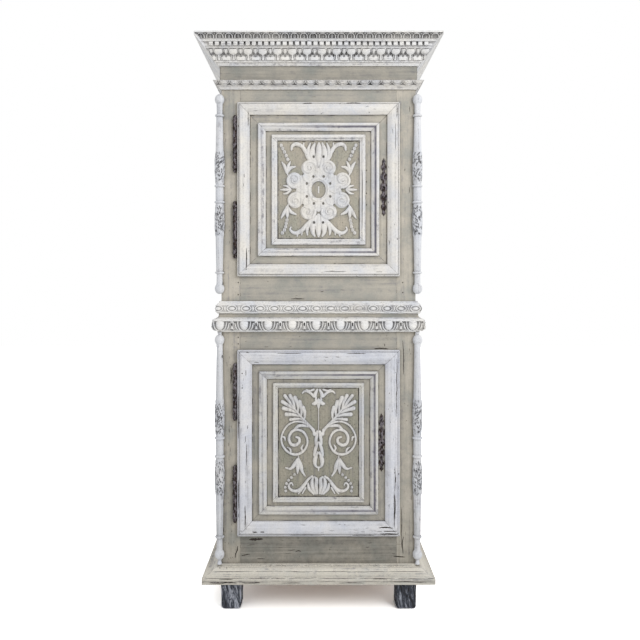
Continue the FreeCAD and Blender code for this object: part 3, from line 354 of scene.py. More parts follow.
def sawnOakMaterial(name, stretch):
    material, tree = newMaterial(name)
    place = addNode(tree, "TexCoord").outputs["Object"]
    scale = tuple(part / mm for part in stretch)
    along = addNode(tree, "VectorMath", {0: place, 1: scale}, operation="MULTIPLY")
    lines = addNode(tree, "TexNoise", {"Vector": along, "Scale": 1 / sawnOak["lineWidth"], "Detail": 7,
                                       "Roughness": 0.66, "Distortion": 0.3})
    tones = addNode(tree, "ValToRGB", {"Fac": lines}, {0.34: sawnOak["dark"], 0.62: sawnOak["light"]})
    bump = addNode(tree, "Bump", {"Height": lines, "Strength": 0.6, "Distance": sawnOak["depth"] * mm})
    wood = addNode(tree, "BsdfPrincipled",
                   {"Base Color": tones, "Roughness": sawnOak["roughness"], "Normal": bump})
    addNode(tree, "OutputMaterial", {0: wood})
    return material


# Forged iron, blackened and pitted: brown-black, barely bright where hands have rubbed it
forgedIron = {"dark": "#1B1817", "rubbed": "#5A5350", "rust": "#3A2A22", "paint": "#817B82", "pit": 1.6,
              "cloud": 14, "edge": 0.8, "depth": 0.4, "paintPatch": 4.6, "drawnOut": (1, 1, 0.4),
              "roughness": (0.42, 0.72)}  # sizes in millimetres


def forgedIronMaterial(name, paintShare):
    material, tree = newMaterial(name)
    place = addNode(tree, "TexCoord").outputs["Object"]
    scaled = addNode(tree, "VectorMath", {0: place, "Scale": 1 / mm}, operation="SCALE")
    pits = addNode(tree, "TexNoise",
                   {"Vector": scaled, "Scale": 1 / forgedIron["pit"] / 2, "Detail": 4, "Roughness": 0.65})
    clouds = addNode(tree, "TexNoise", {"Vector": scaled, "Scale": 1 / forgedIron["cloud"], "Detail": 4})
    tones = addNode(tree, "ValToRGB", {"Fac": clouds}, {0.35: forgedIron["dark"], 0.7: forgedIron["rust"]})
    soft = addNode(tree, "Bevel", {"Radius": forgedIron["edge"] * mm}, samples=4)
    sharp = addNode(tree, "NewGeometry")
    turn = addNode(tree, "VectorMath", {0: soft, 1: sharp.outputs["Normal"]},
                   operation="DOT_PRODUCT").outputs["Value"]
    edge = addNode(tree, "MapRange", {"Value": turn, "From Min": 0.98, "From Max": 0.8, "To Max": 0.7})
    colour = addNode(tree, "Mix", {0: edge, 6: tones, 7: linear(forgedIron["rubbed"])},
                     data_type="RGBA").outputs[2]
    dull = addNode(tree, "MapRange", {"Value": pits, "To Min": forgedIron["roughness"][0],
                                      "To Max": forgedIron["roughness"][1]})
    bump = addNode(tree, "Bump",
                   {"Height": pits, "Strength": 0.7, "Distance": forgedIron["depth"] * mm, "Normal": soft})
    drawnOut = addNode(tree, "VectorMath", {0: scaled, 1: forgedIron["drawnOut"]}, operation="MULTIPLY")
    traces = addNode(tree, "TexNoise", {"Vector": drawnOut, "Scale": 1 / forgedIron["paintPatch"],
                                        "Detail": 6, "Roughness": 0.7})
    traces = addNode(tree, "MapRange", {"Value": traces, "From Min": 0.66 - paintShare * 0.24,
                                        "From Max": 0.7 - paintShare * 0.2, "To Max": paintShare})
    colour = addNode(tree, "Mix", {0: traces, 6: colour, 7: linear(forgedIron["paint"])},
                     data_type="RGBA").outputs[2]
    metal = addNode(tree, "MapRange", {"Value": traces, "To Min": 0.75, "To Max": 0})
    iron = addNode(tree, "BsdfPrincipled",
                   {"Base Color": colour, "Metallic": metal, "Roughness": dull, "Normal": bump})
    addNode(tree, "OutputMaterial", {0: iron})
    return material


# Feet of bog-dark oak: blue-black and torn along the grain, with pale chalk left in the tears
footOak = {"dark": "#101217", "blue": "#3C414D", "pale": "#B4B8C4", "tearWidth": 5.5, "tearDepth": 1.5,
           "drawnOut": 0.22, "lean": 0.2, "roughness": 0.7}


def footOakMaterial(name, chalk):
    material, tree = newMaterial(name)
    place = addNode(tree, "TexCoord").outputs["Object"]
    scale = (1 / mm, 1 / mm, footOak["drawnOut"] / mm)
    leaning = addNode(tree, "VectorRotate", {"Vector": place, "Axis": (0, 1, 0), "Angle": footOak["lean"]})
    along = addNode(tree, "VectorMath", {0: leaning, 1: scale}, operation="MULTIPLY")
    tears = addNode(tree, "TexNoise", {"Vector": along, "Scale": 1 / footOak["tearWidth"] / 2, "Detail": 6,
                                       "Roughness": 0.66, "Distortion": 0.9})
    stops = {0.4 - chalk: footOak["dark"], 0.52 - chalk: footOak["blue"], 0.66 - chalk: footOak["pale"]}
    tones = addNode(tree, "ValToRGB", {"Fac": tears}, stops)
    bump = addNode(tree, "Bump", {"Height": tears, "Strength": 0.8, "Distance": footOak["tearDepth"] * mm})
    wood = addNode(tree, "BsdfPrincipled",
                   {"Base Color": tones, "Roughness": footOak["roughness"], "Normal": bump})
    addNode(tree, "OutputMaterial", {0: wood})
    return material


caseGrain = [alongX, alongY, "case", None]
greyUpright = distemperOak("grey_distemper_upright", "post", [alongZ], "greyShadeAndSoil")
greyAcross = distemperOak("grey_distemper_across", "grey", [alongX], "railShadeAndSoil")
greyCase = distemperOak("grey_distemper_mitred", "grey", caseGrain, "greyShadeAndSoil")
whiteUpright = distemperOak("white_distemper_turned", "turned", [alongZ], hollows=(0.66, 0.45))
whiteCrown = distemperOak("white_distemper_crown", "chalk", [alongX, alongY, "crown", None], wear=0.6,
                          hollows=(1.0, 0.62))
whiteCase = distemperOak("white_distemper_mitred", "chalk", caseGrain, wear=0.6, hollows=(0.74, 0.3),
                         shadeAndGrime=0.12)
whiteNeck = distemperOak("white_distemper_neck", "white", caseGrain, wear=0.6)
creamCase = distemperOak("cream_distemper_mitred", "cream", caseGrain, wear=0.6, shadeAndGrime=0.05)
oakUpright = sawnOakMaterial("sawn_oak_upright", alongZ)
oakAcross = sawnOakMaterial("sawn_oak_across", alongX)
iron = forgedIronMaterial("forged_iron", 0.25)
paintedIron = forgedIronMaterial("forged_iron_with_paint", 0.75)
footWood = footOakMaterial("blackened_oak", 0)
chalkyFootWood = footOakMaterial("blackened_oak_chalky", 0.035)

doorMaterials = {}
doorPaints = {  # of the broad and the small mouldings, and how far the inner hollow with its painted shade lies from the edge
    "upper": ("white", "white", 75 * mm),
    "lower": ("blueWhite", "dullWhite", 78 * mm),
}
for tier, (broad, small, inset) in doorPaints.items():
    low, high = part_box(f"{tier}_door_frame")
    facts = ((high.x - low.x) / 2, (high.z - low.z) / 2, (high.z + low.z) / 2)
    grain = [alongX, alongZ, "door", facts]
    doorMaterials[tier] = {
        "grey": distemperOak(f"grey_distemper_{tier}_door", "door", grain, "greyShadeAndSoil"),
        "broad": distemperOak(f"white_distemper_{tier}_door", broad, grain, wear=0.3, shadeAndGrime=0.2),
        "panel": distemperOak(f"grey_distemper_{tier}_panel", "door", [alongZ], "greyShadeAndSoil"),
        "small": distemperOak(f"pale_distemper_{tier}_door", small, grain, wear=0.8, shadeAndGrime=0.3, quirk=inset),
    }
sideMaterials = {}
for tier in tiers:
    doorLow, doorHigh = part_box(f"{tier}_door_frame")
    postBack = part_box(f"{tier}_post_left")[1].y
    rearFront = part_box(f"{tier}_back")[1].y - (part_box("lower_post_left")[1].y - caseFront)
    facts = (doorLow.z, doorHigh.z, postBack, rearFront)
    grain = [alongZ, alongY, "side", facts]
    sideMaterials[tier] = distemperOak(f"grey_distemper_{tier}_side", "grey", grain, "greyShadeAndSoil")


def materialFor(node, slot):
    tier = node.split("_")[0]
    if slot == "forged_iron":
        return paintedIron if "hinge" in node or "escutcheon" in node else iron
    if slot == "dark_oak_feet":
        return chalkyFootWood if "left" in node else footWood
    if slot == "bare_oak":
        return oakUpright if node.endswith("_back") else oakAcross
    if "door_" in node:
        if slot == "grey_paint":
            return doorMaterials[tier]["panel" if node.endswith("panel") else "grey"]
        return doorMaterials[tier]["broad" if "outer" in node else "small"]
    if "_side_" in node:
        return sideMaterials[tier]
    if "column" in node:
        return whiteUpright
    if slot == "white_paint" and "crown" in node:
        return whiteCrown
    if slot == "white_paint":
        return creamCase if "base" in node else whiteCase
    if node in ("frieze", "waist_cove"):
        return greyCase
    return greyAcross if "rails" in node else greyUpright


for part in subparts:
    shape = nodes[part["node"]]
    for place in shape.material_slots:
        place.material = materialFor(part["node"], part["material_slot"])
print("frame dressed:", len(subparts), "nodes")

# Stage, camera and light
stage = {
    "floorHalf": 9.0,
    "floorTone": "#F4F4F2",
    "floorSeen": 2.5,             # what the camera sees is brighter, so that the floor meets the backdrop
    "cameraPlace": (-0.0126, -2.548, 1.185),
    "lens": 36.73,
    "shift": (0.0078, -0.0625),
    "worldLight": 0.74,
    "keyPlace": (1.9, -2.7, 2.7),
    "keyAim": (0.0, 0.0, 1.15),
    "keySize": 1.6,
    "keyPower": 46,
}


def dressStage():
    half = stage["floorHalf"]
    mesh = bpy.data.meshes.new("floor")
    mesh.from_pydata([(-half, -half, 0), (half, -half, 0), (half, half, 0), (-half, half, 0)], [],
                     [(0, 1, 2, 3)])
    floor = bpy.data.objects.new("floor", mesh)
    bpy.context.collection.objects.link(floor)
    material, tree = newMaterial("pale_floor")
    seen = addNode(tree, "LightPath").outputs["Is Camera Ray"]
    bright = (stage["floorSeen"],) * 3 + (1,)
    tone = addNode(tree, "Mix", {0: seen, 6: linear(stage["floorTone"]), 7: bright},
                   data_type="RGBA").outputs[2]
    matt = addNode(tree, "BsdfDiffuse", {"Color": tone})
    addNode(tree, "OutputMaterial", {0: matt})
    mesh.materials.append(material)

    world = bpy.data.worlds.new("studio")
    bpy.context.scene.world = world
    world.use_nodes = True
    tree = world.node_tree
    tree.nodes.clear()
    rays = addNode(tree, "LightPath").outputs
    seen = addNode(tree, "Math", {0: rays["Is Camera Ray"], 1: rays["Is Glossy Ray"]}, operation="MAXIMUM")
    seen = addNode(tree, "Math", {0: seen, 1: rays["Is Transmission Ray"]}, operation="MAXIMUM")
    strength = addNode(tree, "MapRange", {"Value": seen, "To Min": stage["worldLight"], "To Max": 1.0})
    glow = addNode(tree, "Background", {"Color": (1, 1, 1, 1), "Strength": strength})
    addNode(tree, "OutputWorld", {0: glow})

    key = bpy.data.lights.new("key", "AREA")
    key.size = stage["keySize"]
    key.energy = stage["keyPower"]
    keyObject = bpy.data.objects.new("key", key)
    bpy.context.collection.objects.link(keyObject)
    keyObject.location = stage["keyPlace"]
    aim = Vector(stage["keyAim"]) - Vector(stage["keyPlace"])
    keyObject.rotation_euler = aim.to_track_quat("-Z", "Y").to_euler()

    lens = bpy.data.cameras.new("photograph")
    lens.sensor_width = 36
    lens.lens = stage["lens"]
    lens.shift_x, lens.shift_y = stage["shift"]
    camera = bpy.data.objects.new("photograph", lens)
    bpy.context.collection.objects.link(camera)
    camera.location = stage["cameraPlace"]
    camera.rotation_euler = (math.pi / 2, 0, 0)
    bpy.context.scene.camera = camera
    bpy.context.scene.view_settings.view_transform = "Standard"


dressStage()
print("stage set")

# Carving: strokes and domes drawn as heights on a grid, in shares of the piece that they belong to
forms = {
    "round": lambda reach: np.sqrt(np.clip(1 - reach ** 2, 0, 1)),
    "ridge": lambda reach: 1 - reach ** 1.3,
    "flat": lambda reach: np.clip((1 - reach) * 6, 0, 1),
    "gouge": lambda reach: np.clip((1 - reach) * 5, 0, 1) * (0.5 + 0.5 * reach ** 2),
}


def newField(left, right, low, high, columns, rows):
    return {
        "across": np.linspace(left, right, columns),
        "up": np.linspace(low, high, rows),
        "rise": np.zeros((rows, columns)),
    }


def smoothLine(points, steps=7):  # a line of points eased through its corners
    line = np.array(points, dtype=float)
    if len(line) < 3:
        return line
    ends = np.vstack([2 * line[0] - line[1], line, 2 * line[-1] - line[-2]])
    share = np.arange(steps)[:, None] / steps
    spans = []
    for before, start, end, after in zip(ends, ends[1:], ends[2:], ends[3:]):
        spans.append(0.5 * (2 * start + (end - before) * share
                            + (2 * before - 5 * start + 4 * end - after) * share ** 2
                            + (3 * start - before - 3 * end + after) * share ** 3))
    return np.vstack(spans + [line[-1:]])


def patchOf(field, near, far):
    columns = slice(*np.searchsorted(field["across"], (near[0], far[0])))
    rows = slice(*np.searchsorted(field["up"], (near[1], far[1])))
    return field["across"][columns][None, :], field["up"][rows][:, None], field["rise"][rows, columns]


# Points are (across, up, half width, rise); a cut takes its rise away instead
def stroke(field, points, form="round", cut=False):
    line = smoothLine(points)
    shapeOf = forms[form]
    before = field["rise"].copy() if cut else None
    for start, end in zip(line, line[1:]):
        widest = max(start[2], end[2], 0)
        near = np.minimum(start[:2], end[:2]) - widest
        far = np.maximum(start[:2], end[:2]) + widest
        across, up, patch = patchOf(field, near, far)
        if patch.size == 0:
            continue
        run = end[:2] - start[:2]
        share = ((across - start[0]) * run[0] + (up - start[1]) * run[1]) / max(run @ run, 1e-12)
        share = np.clip(share, 0, 1)
        away = np.hypot(across - start[0] - share * run[0], up - start[1] - share * run[1])
        half = np.maximum(start[2] + share * (end[2] - start[2]), 1e-6)
        reach = np.clip(away / half, 0, 1)
        rise = (start[3] + share * (end[3] - start[3])) * shapeOf(reach)
        if cut:
            was = patchOf(dict(field, rise=before), near, far)[2]
            np.minimum(patch, was - rise, out=patch)
        else:
            np.maximum(patch, np.where(reach < 1, rise, 0), out=patch)


def dome(field, place, half, rise, form="round", cut=False, floor=None):
    across, up, patch = patchOf(field, (place[0] - half[0], place[1] - half[1]),
                                (place[0] + half[0], place[1] + half[1]))
    reach = np.clip(np.hypot((across - place[0]) / half[0], (up - place[1]) / half[1]), 0, 1)
    shape = rise * forms[form](reach)
    if floor is not None:  # cleared down to one level
        np.copyto(patch, np.where(reach < 1, np.minimum(patch, floor), patch))
    elif cut:
        patch -= shape
    else:
        np.maximum(patch, np.where(reach < 1, shape, 0), out=patch)


def mirrored(points):
    return [(-point[0], *point[1:]) for point in points]


def strokes(field, table, form="round", cut=False, both=True):
    for points in table:
        stroke(field, points, form, cut)
        if both:
            stroke(field, mirrored(points), form, cut)


# A volute: a rim that starts at an angle and winds in round a centre
def volute(centre, radius, start, turns, way, half, rise, inward=0.78):
    count = int(12 * turns) + 1
    points = []
    for step in range(count):
        share = step / (count - 1)
        angle = math.radians(start) + way * math.tau * turns * share
        away = radius * (1 - inward * share)
        points.append((centre[0] + away * math.cos(angle), centre[1] + away * math.sin(angle),
                       half * (1 - 0.35 * share), rise))
    return points


# An acanthus leaf: a rib with lobes that spring from it on both sides.
# Each lobe's middle and tip are shares of its swell: ahead along the rib and out to the side.
lobeShares = {"first": 0.35, "middle": (0.3, 0.52), "tip": (0.86, 0.8)}


def acanthus(field, spine, lobes, reach, half, rise):
    line = smoothLine(spine)
    for count in range(lobes):
        share = (count + lobeShares["first"]) / lobes
        place = line[int(share * (len(line) - 1))][:2]
        ahead = line[min(int(share * (len(line) - 1)) + 2, len(line) - 1)][:2] - place
        ahead = ahead / max(np.hypot(*ahead), 1e-9)
        swell = reach * (0.62 + 0.38 * math.sin(math.pi * min(share * 1.25, 1)))
        for way in (1, -1):
            side = np.array((-ahead[1], ahead[0])) * way
            middle, tip = (place + ahead * swell * onward + side * swell * aside
                           for onward, aside in (lobeShares["middle"], lobeShares["tip"]))
            stroke(field, [(*place, half * 0.5, rise * 0.7), (*middle, half, rise),
                           (*tip, half * 0.75, rise * 0.8)])
    stroke(field, spine)
    stroke(field, [(point[0], point[1], half * 0.22, rise * 0.4) for point in line[::3]], "ridge", cut=True)


def markHollows(mesh, hollow):  # how dark each corner is painted: painted shade in hollows, and the tablets' spots; one share for each corner, in the order of the mesh
    layer = mesh.attributes.new("hollow", "FLOAT", "POINT")
    layer.data.foreach_set("value", np.ravel(hollow).astype(np.float32))


def solidFrom(name, work, material, body, replaced=()):
    mesh = bpy.data.meshes.new(name)
    work.to_mesh(mesh)
    work.free()
    piece = bpy.data.objects.new(name, mesh)
    bpy.context.collection.objects.link(piece)
    mesh.materials.append(material)
    for face in mesh.polygons:
        face.use_smooth = True
    mesh.set_sharp_from_angle(angle=math.radians(38))
    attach(piece, body)
    if replaced:
        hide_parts(*replaced)
    print(f"{name}: {sum(len(face.vertices) - 2 for face in mesh.polygons)} triangles")
    return piece


def softened(rise, reach):
    for count in range(reach):
        rise = (rise + np.roll(rise, 1, 0) + np.roll(rise, -1, 0)
                + np.roll(rise, 1, 1) + np.roll(rise, -1, 1)) / 5
    return rise


# Painted shade beside and between the carved forms and round the rim, and dark spots on the ground.
# Each reach is in cells of the grid, and each depth, slope and most say how hollows and spots turn dark.
tabletShadeAndDirt = {
    "fine": {"reach": 2, "depth": 0.04, "slope": 4.5, "most": 0.9},
    "broad": {"reach": 9, "depth": 0.08, "slope": 2.0, "most": 0.6},
    "rim": {"reach": 6, "depth": -0.1375, "slope": 4, "most": 1},
    "spots": {"reach": 1, "depth": 1.1, "slope": 0.8, "most": 0.85},
    "most": 0.92,
}


def creases(rise, facts):
    def shadeAndDirtFrom(kind, hollow):
        return np.clip((hollow - tabletShadeAndDirt[kind]["depth"]) * tabletShadeAndDirt[kind]["slope"], 0,
                       tabletShadeAndDirt[kind]["most"])

    shadeAndDirt = sum(shadeAndDirtFrom(kind, softened(rise, tabletShadeAndDirt[kind]["reach"]) - rise)
               for kind in ("fine", "broad"))
    rim = np.ones(rise.shape)
    rim[2:-2, 2:-2] = 0
    random = np.random.default_rng(facts["seed"] + 1)
    spots = softened(random.normal(size=rise.shape), tabletShadeAndDirt["spots"]["reach"])
    shadeAndDirt += rim * shadeAndDirtFrom("rim", softened(spots, tabletShadeAndDirt["rim"]["reach"]))
    # fewer on what stands up
    spots = shadeAndDirtFrom("spots", spots / spots.std()) * np.clip(1 - rise * 3, 0.3, 1)
    return np.clip(np.maximum(shadeAndDirt, spots), 0, tabletShadeAndDirt["most"])


# A carved tablet: the grid stands on the panel, with a skirt down to a flat back
def carvedTablet(name, field, unit, centre, face, facts, material, body):
    across, up, rise = field["across"], field["up"], field["rise"]
    columns, rows = len(across), len(up)
    rise[:, (0, -1)] = 0
    rise[(0, -1), :] = 0
    gridX, gridZ = np.meshgrid(across * unit, centre + up * unit)
    gridY = face - facts["ground"] - rise * facts["depth"]
    points = np.stack([gridX, gridY, gridZ], axis=-1).reshape(-1, 3)
    corner = np.arange(rows * columns).reshape(rows, columns)
    faces = np.stack([corner[:-1, :-1], corner[:-1, 1:], corner[1:, 1:], corner[1:, :-1]],
                     axis=-1).reshape(-1, 4)
    mesh = bpy.data.meshes.new(f"{name}_grid")
    mesh.from_pydata(points.tolist(), [], faces.tolist())
    markHollows(mesh, creases(rise, facts))
    work = bmesh.new()
    work.from_mesh(mesh)
    bpy.data.meshes.remove(mesh)
    rim = [edge for edge in work.edges if edge.is_boundary]
    skirt = bmesh.ops.extrude_edge_only(work, edges=rim)["geom"]
    for item in skirt:
        if isinstance(item, bmesh.types.BMVert):
            item.co.y = face + facts["backing"]
    bmesh.ops.holes_fill(work, edges=[edge for edge in work.edges if edge.is_boundary], sides=0)
    bmesh.ops.recalc_face_normals(work, faces=work.faces)
    return solidFrom(name, work, material, body)


# The upper tablet: a lobed cartouche round an oval boss, palmettes, bellflowers in the corners.
# Points are shares of the tablet's half width: across, up, half width of the stroke, rise.
upperTablet = {
    "grid": 1.12 * mm,
    "depth": 7.5 * mm,
    "ground": 0.6 * mm,
    "edge": 0.9 * mm,
    "backing": 1.0 * mm,
    "stipple": 0.075,
    "seed": 4,
    "groundTones": ("#A8A699", "#BBB3A4"),
    "plate": ((0, 0), (0.6, 0.57), 0.5),
    "bossRing": ((0.235, 0.275), 0.04, 0.92),
    "boss": (0.17, 0.205),
    "bossBar": [(0, -0.07, 0.02, 0.45), (0, 0.07, 0.02, 0.45)],
    # each lobe: centre, radius, angle where its rim starts, way that it winds
    "lobes": [((0.23, 0.53), 0.19, 195, -1), ((0.59, 0.24), 0.185, -100, 1),
              ((0.57, -0.27), 0.18, 100, -1), ((0.26, -0.54), 0.185, 165, 1)],
    "petals": 8,
    "petalReach": (0.3, 0.5),
    "drills": [(0.125, 0.32), (0.285, 0.15), (0.39, 0.385), (0.115, -0.335), (0.285, -0.165),
               (0.385, -0.375), (0.575, 0.0), (0.12, 0.80), (0.11, -0.80)],
    "drillRadius": 0.026,
}
upperPalmetteShares = [
    [(0.06, 0.60, 0.05, 0.6), (0.15, 0.80, 0.08, 1.0), (0.14, 0.99, 0.06, 0.9), (0.09, 1.13, 0.025, 0.5)],
    [(0.10, 0.60, 0.03, 0.6), (0.24, 0.78, 0.055, 0.9), (0.25, 0.97, 0.045, 0.8), (0.2, 1.13, 0.02, 0.5)],
    [(0.15, 0.62, 0.03, 0.5), (0.27, 0.79, 0.04, 0.8), (0.33, 0.97, 0.045, 0.9), (0.44, 1.08, 0.05, 0.95),
     (0.56, 1.11, 0.05, 0.9), (0.64, 1.06, 0.04, 0.8), (0.66, 0.97, 0.025, 0.6)],
    [(0.29, 0.84, 0.02, 0.6), (0.37, 0.99, 0.03, 0.7), (0.36, 1.13, 0.022, 0.5)],
    [(0.06, -0.66, 0.05, 0.6), (0.13, -0.84, 0.08, 1.0), (0.14, -1.02, 0.055, 0.9),
     (0.09, -1.13, 0.025, 0.5)],
    [(0.1, -0.68, 0.03, 0.6), (0.23, -0.82, 0.055, 0.9), (0.28, -0.97, 0.045, 0.8),
     (0.27, -1.1, 0.02, 0.5)],
    [(0.16, -0.70, 0.035, 0.6), (0.28, -0.84, 0.045, 0.9), (0.4, -0.98, 0.055, 0.95),
     (0.52, -1.05, 0.05, 0.9), (0.62, -1.04, 0.04, 0.85), (0.69, -0.97, 0.028, 0.7),
     (0.67, -0.91, 0.02, 0.5)],
    [(0.4, -0.98, 0.03, 0.7), (0.41, -1.1, 0.02, 0.4)],
    [(0.49, -1.03, 0.03, 0.7), (0.52, -1.13, 0.02, 0.4)],
]
upperCentreShares = [
    [(0, 0.6, 0.05, 0.6), (0, 0.82, 0.085, 1.0), (0.01, 1.02, 0.07, 0.9), (0.01, 1.14, 0.025, 0.5)],
    [(0, -0.62, 0.05, 0.6), (0, -0.86, 0.085, 1.0), (0, -1.04, 0.06, 0.9), (0, -1.14, 0.025, 0.5)],
]
upperFlowerShares = [
    [(0.66, 0.24, 0.018, 0.5), (0.73, 0.33, 0.018, 0.5), (0.77, 0.42, 0.03, 0.6)],
    [(0.77, 0.42, 0.04, 0.7), (0.68, 0.53, 0.045, 0.95), (0.57, 0.56, 0.022, 0.6)],
    [(0.77, 0.42, 0.04, 0.7), (0.74, 0.56, 0.045, 1.0), (0.69, 0.68, 0.02, 0.6)],
    [(0.77, 0.42, 0.04, 0.7), (0.82, 0.56, 0.045, 0.95), (0.89, 0.67, 0.02, 0.6)],
    [(0.64, -0.24, 0.018, 0.5), (0.72, -0.33, 0.018, 0.5), (0.76, -0.42, 0.03, 0.6)],
    [(0.76, -0.42, 0.04, 0.7), (0.67, -0.54, 0.045, 0.95), (0.55, -0.6, 0.022, 0.6)],
    [(0.76, -0.42, 0.04, 0.7), (0.76, -0.58, 0.05, 1.0), (0.76, -0.68, 0.02, 0.6)],
    [(0.76, -0.42, 0.04, 0.7), (0.84, -0.57, 0.045, 0.95), (0.91, -0.69, 0.02, 0.6)],
    [(0.68, 0, 0.03, 0.7), (0.8, 0, 0.04, 0.9), (0.92, 0, 0.02, 0.5)],
    [(0.68, 0.01, 0.03, 0.7), (0.76, 0.08, 0.035, 0.85), (0.85, 0.1, 0.018, 0.5)],
    [(0.68, -0.01, 0.03, 0.7), (0.76, -0.08, 0.035, 0.85), (0.85, -0.1, 0.018, 0.5)],
]
upperBudShares = [  # chains of buds that run from each bellflower to its corner
    ((0.75, 0.74), (0.79, 0.83), (0.83, 0.92), (0.87, 1.0), (0.91, 1.08)),
    ((0.77, -0.74), (0.79, -0.82), (0.8, -0.9), (0.83, -0.98), (0.88, -1.05)),
]


def drawUpperTablet(field):
    facts = upperTablet
    dome(field, *facts["plate"], "flat")
    for centre, radius, start, way in facts["lobes"]:
        for side in (1, -1):
            place = (centre[0] * side, centre[1])
            dome(field, place, (radius * 1.05, radius * 1.05), 0.5, "flat")
            rim = volute(centre, radius, start, 1.35, way, 0.042, 0.95)
            stroke(field, rim if side > 0 else mirrored(rim))
            dome(field, place, (0.05, 0.05), 0.95)
    for count in range(facts["petals"]):
        angle = math.tau * count / facts["petals"]
        near, far = facts["petalReach"]
        petal = ((near, 0.06, 0.8), ((near + far) / 2, 0.1, 0.95), (far, 0.05, 0.7))
        stroke(field, [(away * math.cos(angle), away * math.sin(angle), half, rise)
                       for away, half, rise in petal], "gouge")
    half, thick, rise = facts["bossRing"]
    ring = [(half[0] * math.cos(turn), half[1] * math.sin(turn), thick, rise)
            for turn in np.linspace(0, math.tau, 25)]
    stroke(field, ring)
    dome(field, (0, 0), facts["boss"], 0, floor=0.06)
    stroke(field, facts["bossBar"])
    strokes(field, upperPalmetteShares)
    strokes(field, upperCentreShares, both=False)
    strokes(field, upperFlowerShares)
    for chain in upperBudShares:
        for across, up in chain:
            for side in (1, -1):
                dome(field, (across * side, up), (0.042, 0.05), 0.8)
                dome(field, (across * side, up), (0.012, 0.05), 0.3, cut=True)
    for across, up in facts["drills"]:
        for side in (1, -1):
            half = (facts["drillRadius"], facts["drillRadius"] * 1.2)
            dome(field, (across * side, up), half, 0.75, "flat", cut=True)


# The lower tablet: a pendant over two acanthus leaves and scrolls, a husk chain and a double palmette
lowerTablet = {
    "grid": 1.2 * mm,
    "depth": 7.0 * mm,
    "ground": 0.6 * mm,
    "edge": 0.9 * mm,
    "backing": 1.0 * mm,
    "stipple": 0.075,
    "seed": 9,
    "groundTones": ("#9B9A8C", "#ABA597"),
    "drills": [(0, 1.14), (0, 0.06), (0, -0.2), (0, -0.33), (0, -0.5), (0.11, 1.08)],
    "drillRadius": 0.022,
}
lowerLeafShares = [  # a stem, the rounded lobes above it and those below it
    [(0.1, 0.3, 0.022, 0.6), (0.24, 0.44, 0.024, 0.8), (0.42, 0.62, 0.03, 0.95), (0.6, 0.84, 0.026, 0.9)],
    [(0.16, 0.34, 0.014, 0.5), (0.32, 0.5, 0.018, 0.7), (0.5, 0.6, 0.02, 0.7)],
    [(0.35, 0.56, 0.022, 0.6), (0.34, 0.72, 0.04, 0.85), (0.38, 0.86, 0.05, 0.95)],
    [(0.43, 0.64, 0.026, 0.6), (0.42, 0.82, 0.045, 0.85), (0.47, 1.0, 0.055, 1.0)],
    [(0.51, 0.73, 0.026, 0.6), (0.51, 0.92, 0.045, 0.85), (0.58, 1.1, 0.055, 1.0)],
    [(0.58, 0.82, 0.026, 0.6), (0.62, 0.99, 0.04, 0.85), (0.7, 1.15, 0.05, 1.0)],
    [(0.62, 0.86, 0.026, 0.7), (0.72, 1.01, 0.04, 0.9), (0.83, 1.15, 0.045, 1.0)],
    [(0.6, 0.82, 0.026, 0.6), (0.74, 0.91, 0.045, 0.85), (0.89, 1.0, 0.05, 1.0)],
    [(0.53, 0.73, 0.026, 0.6), (0.68, 0.79, 0.045, 0.85), (0.86, 0.84, 0.055, 1.0)],
    [(0.45, 0.64, 0.026, 0.6), (0.61, 0.68, 0.045, 0.85), (0.79, 0.69, 0.055, 0.95)],
    [(0.4, 0.58, 0.022, 0.6), (0.54, 0.58, 0.035, 0.85), (0.69, 0.56, 0.045, 0.9)],
]
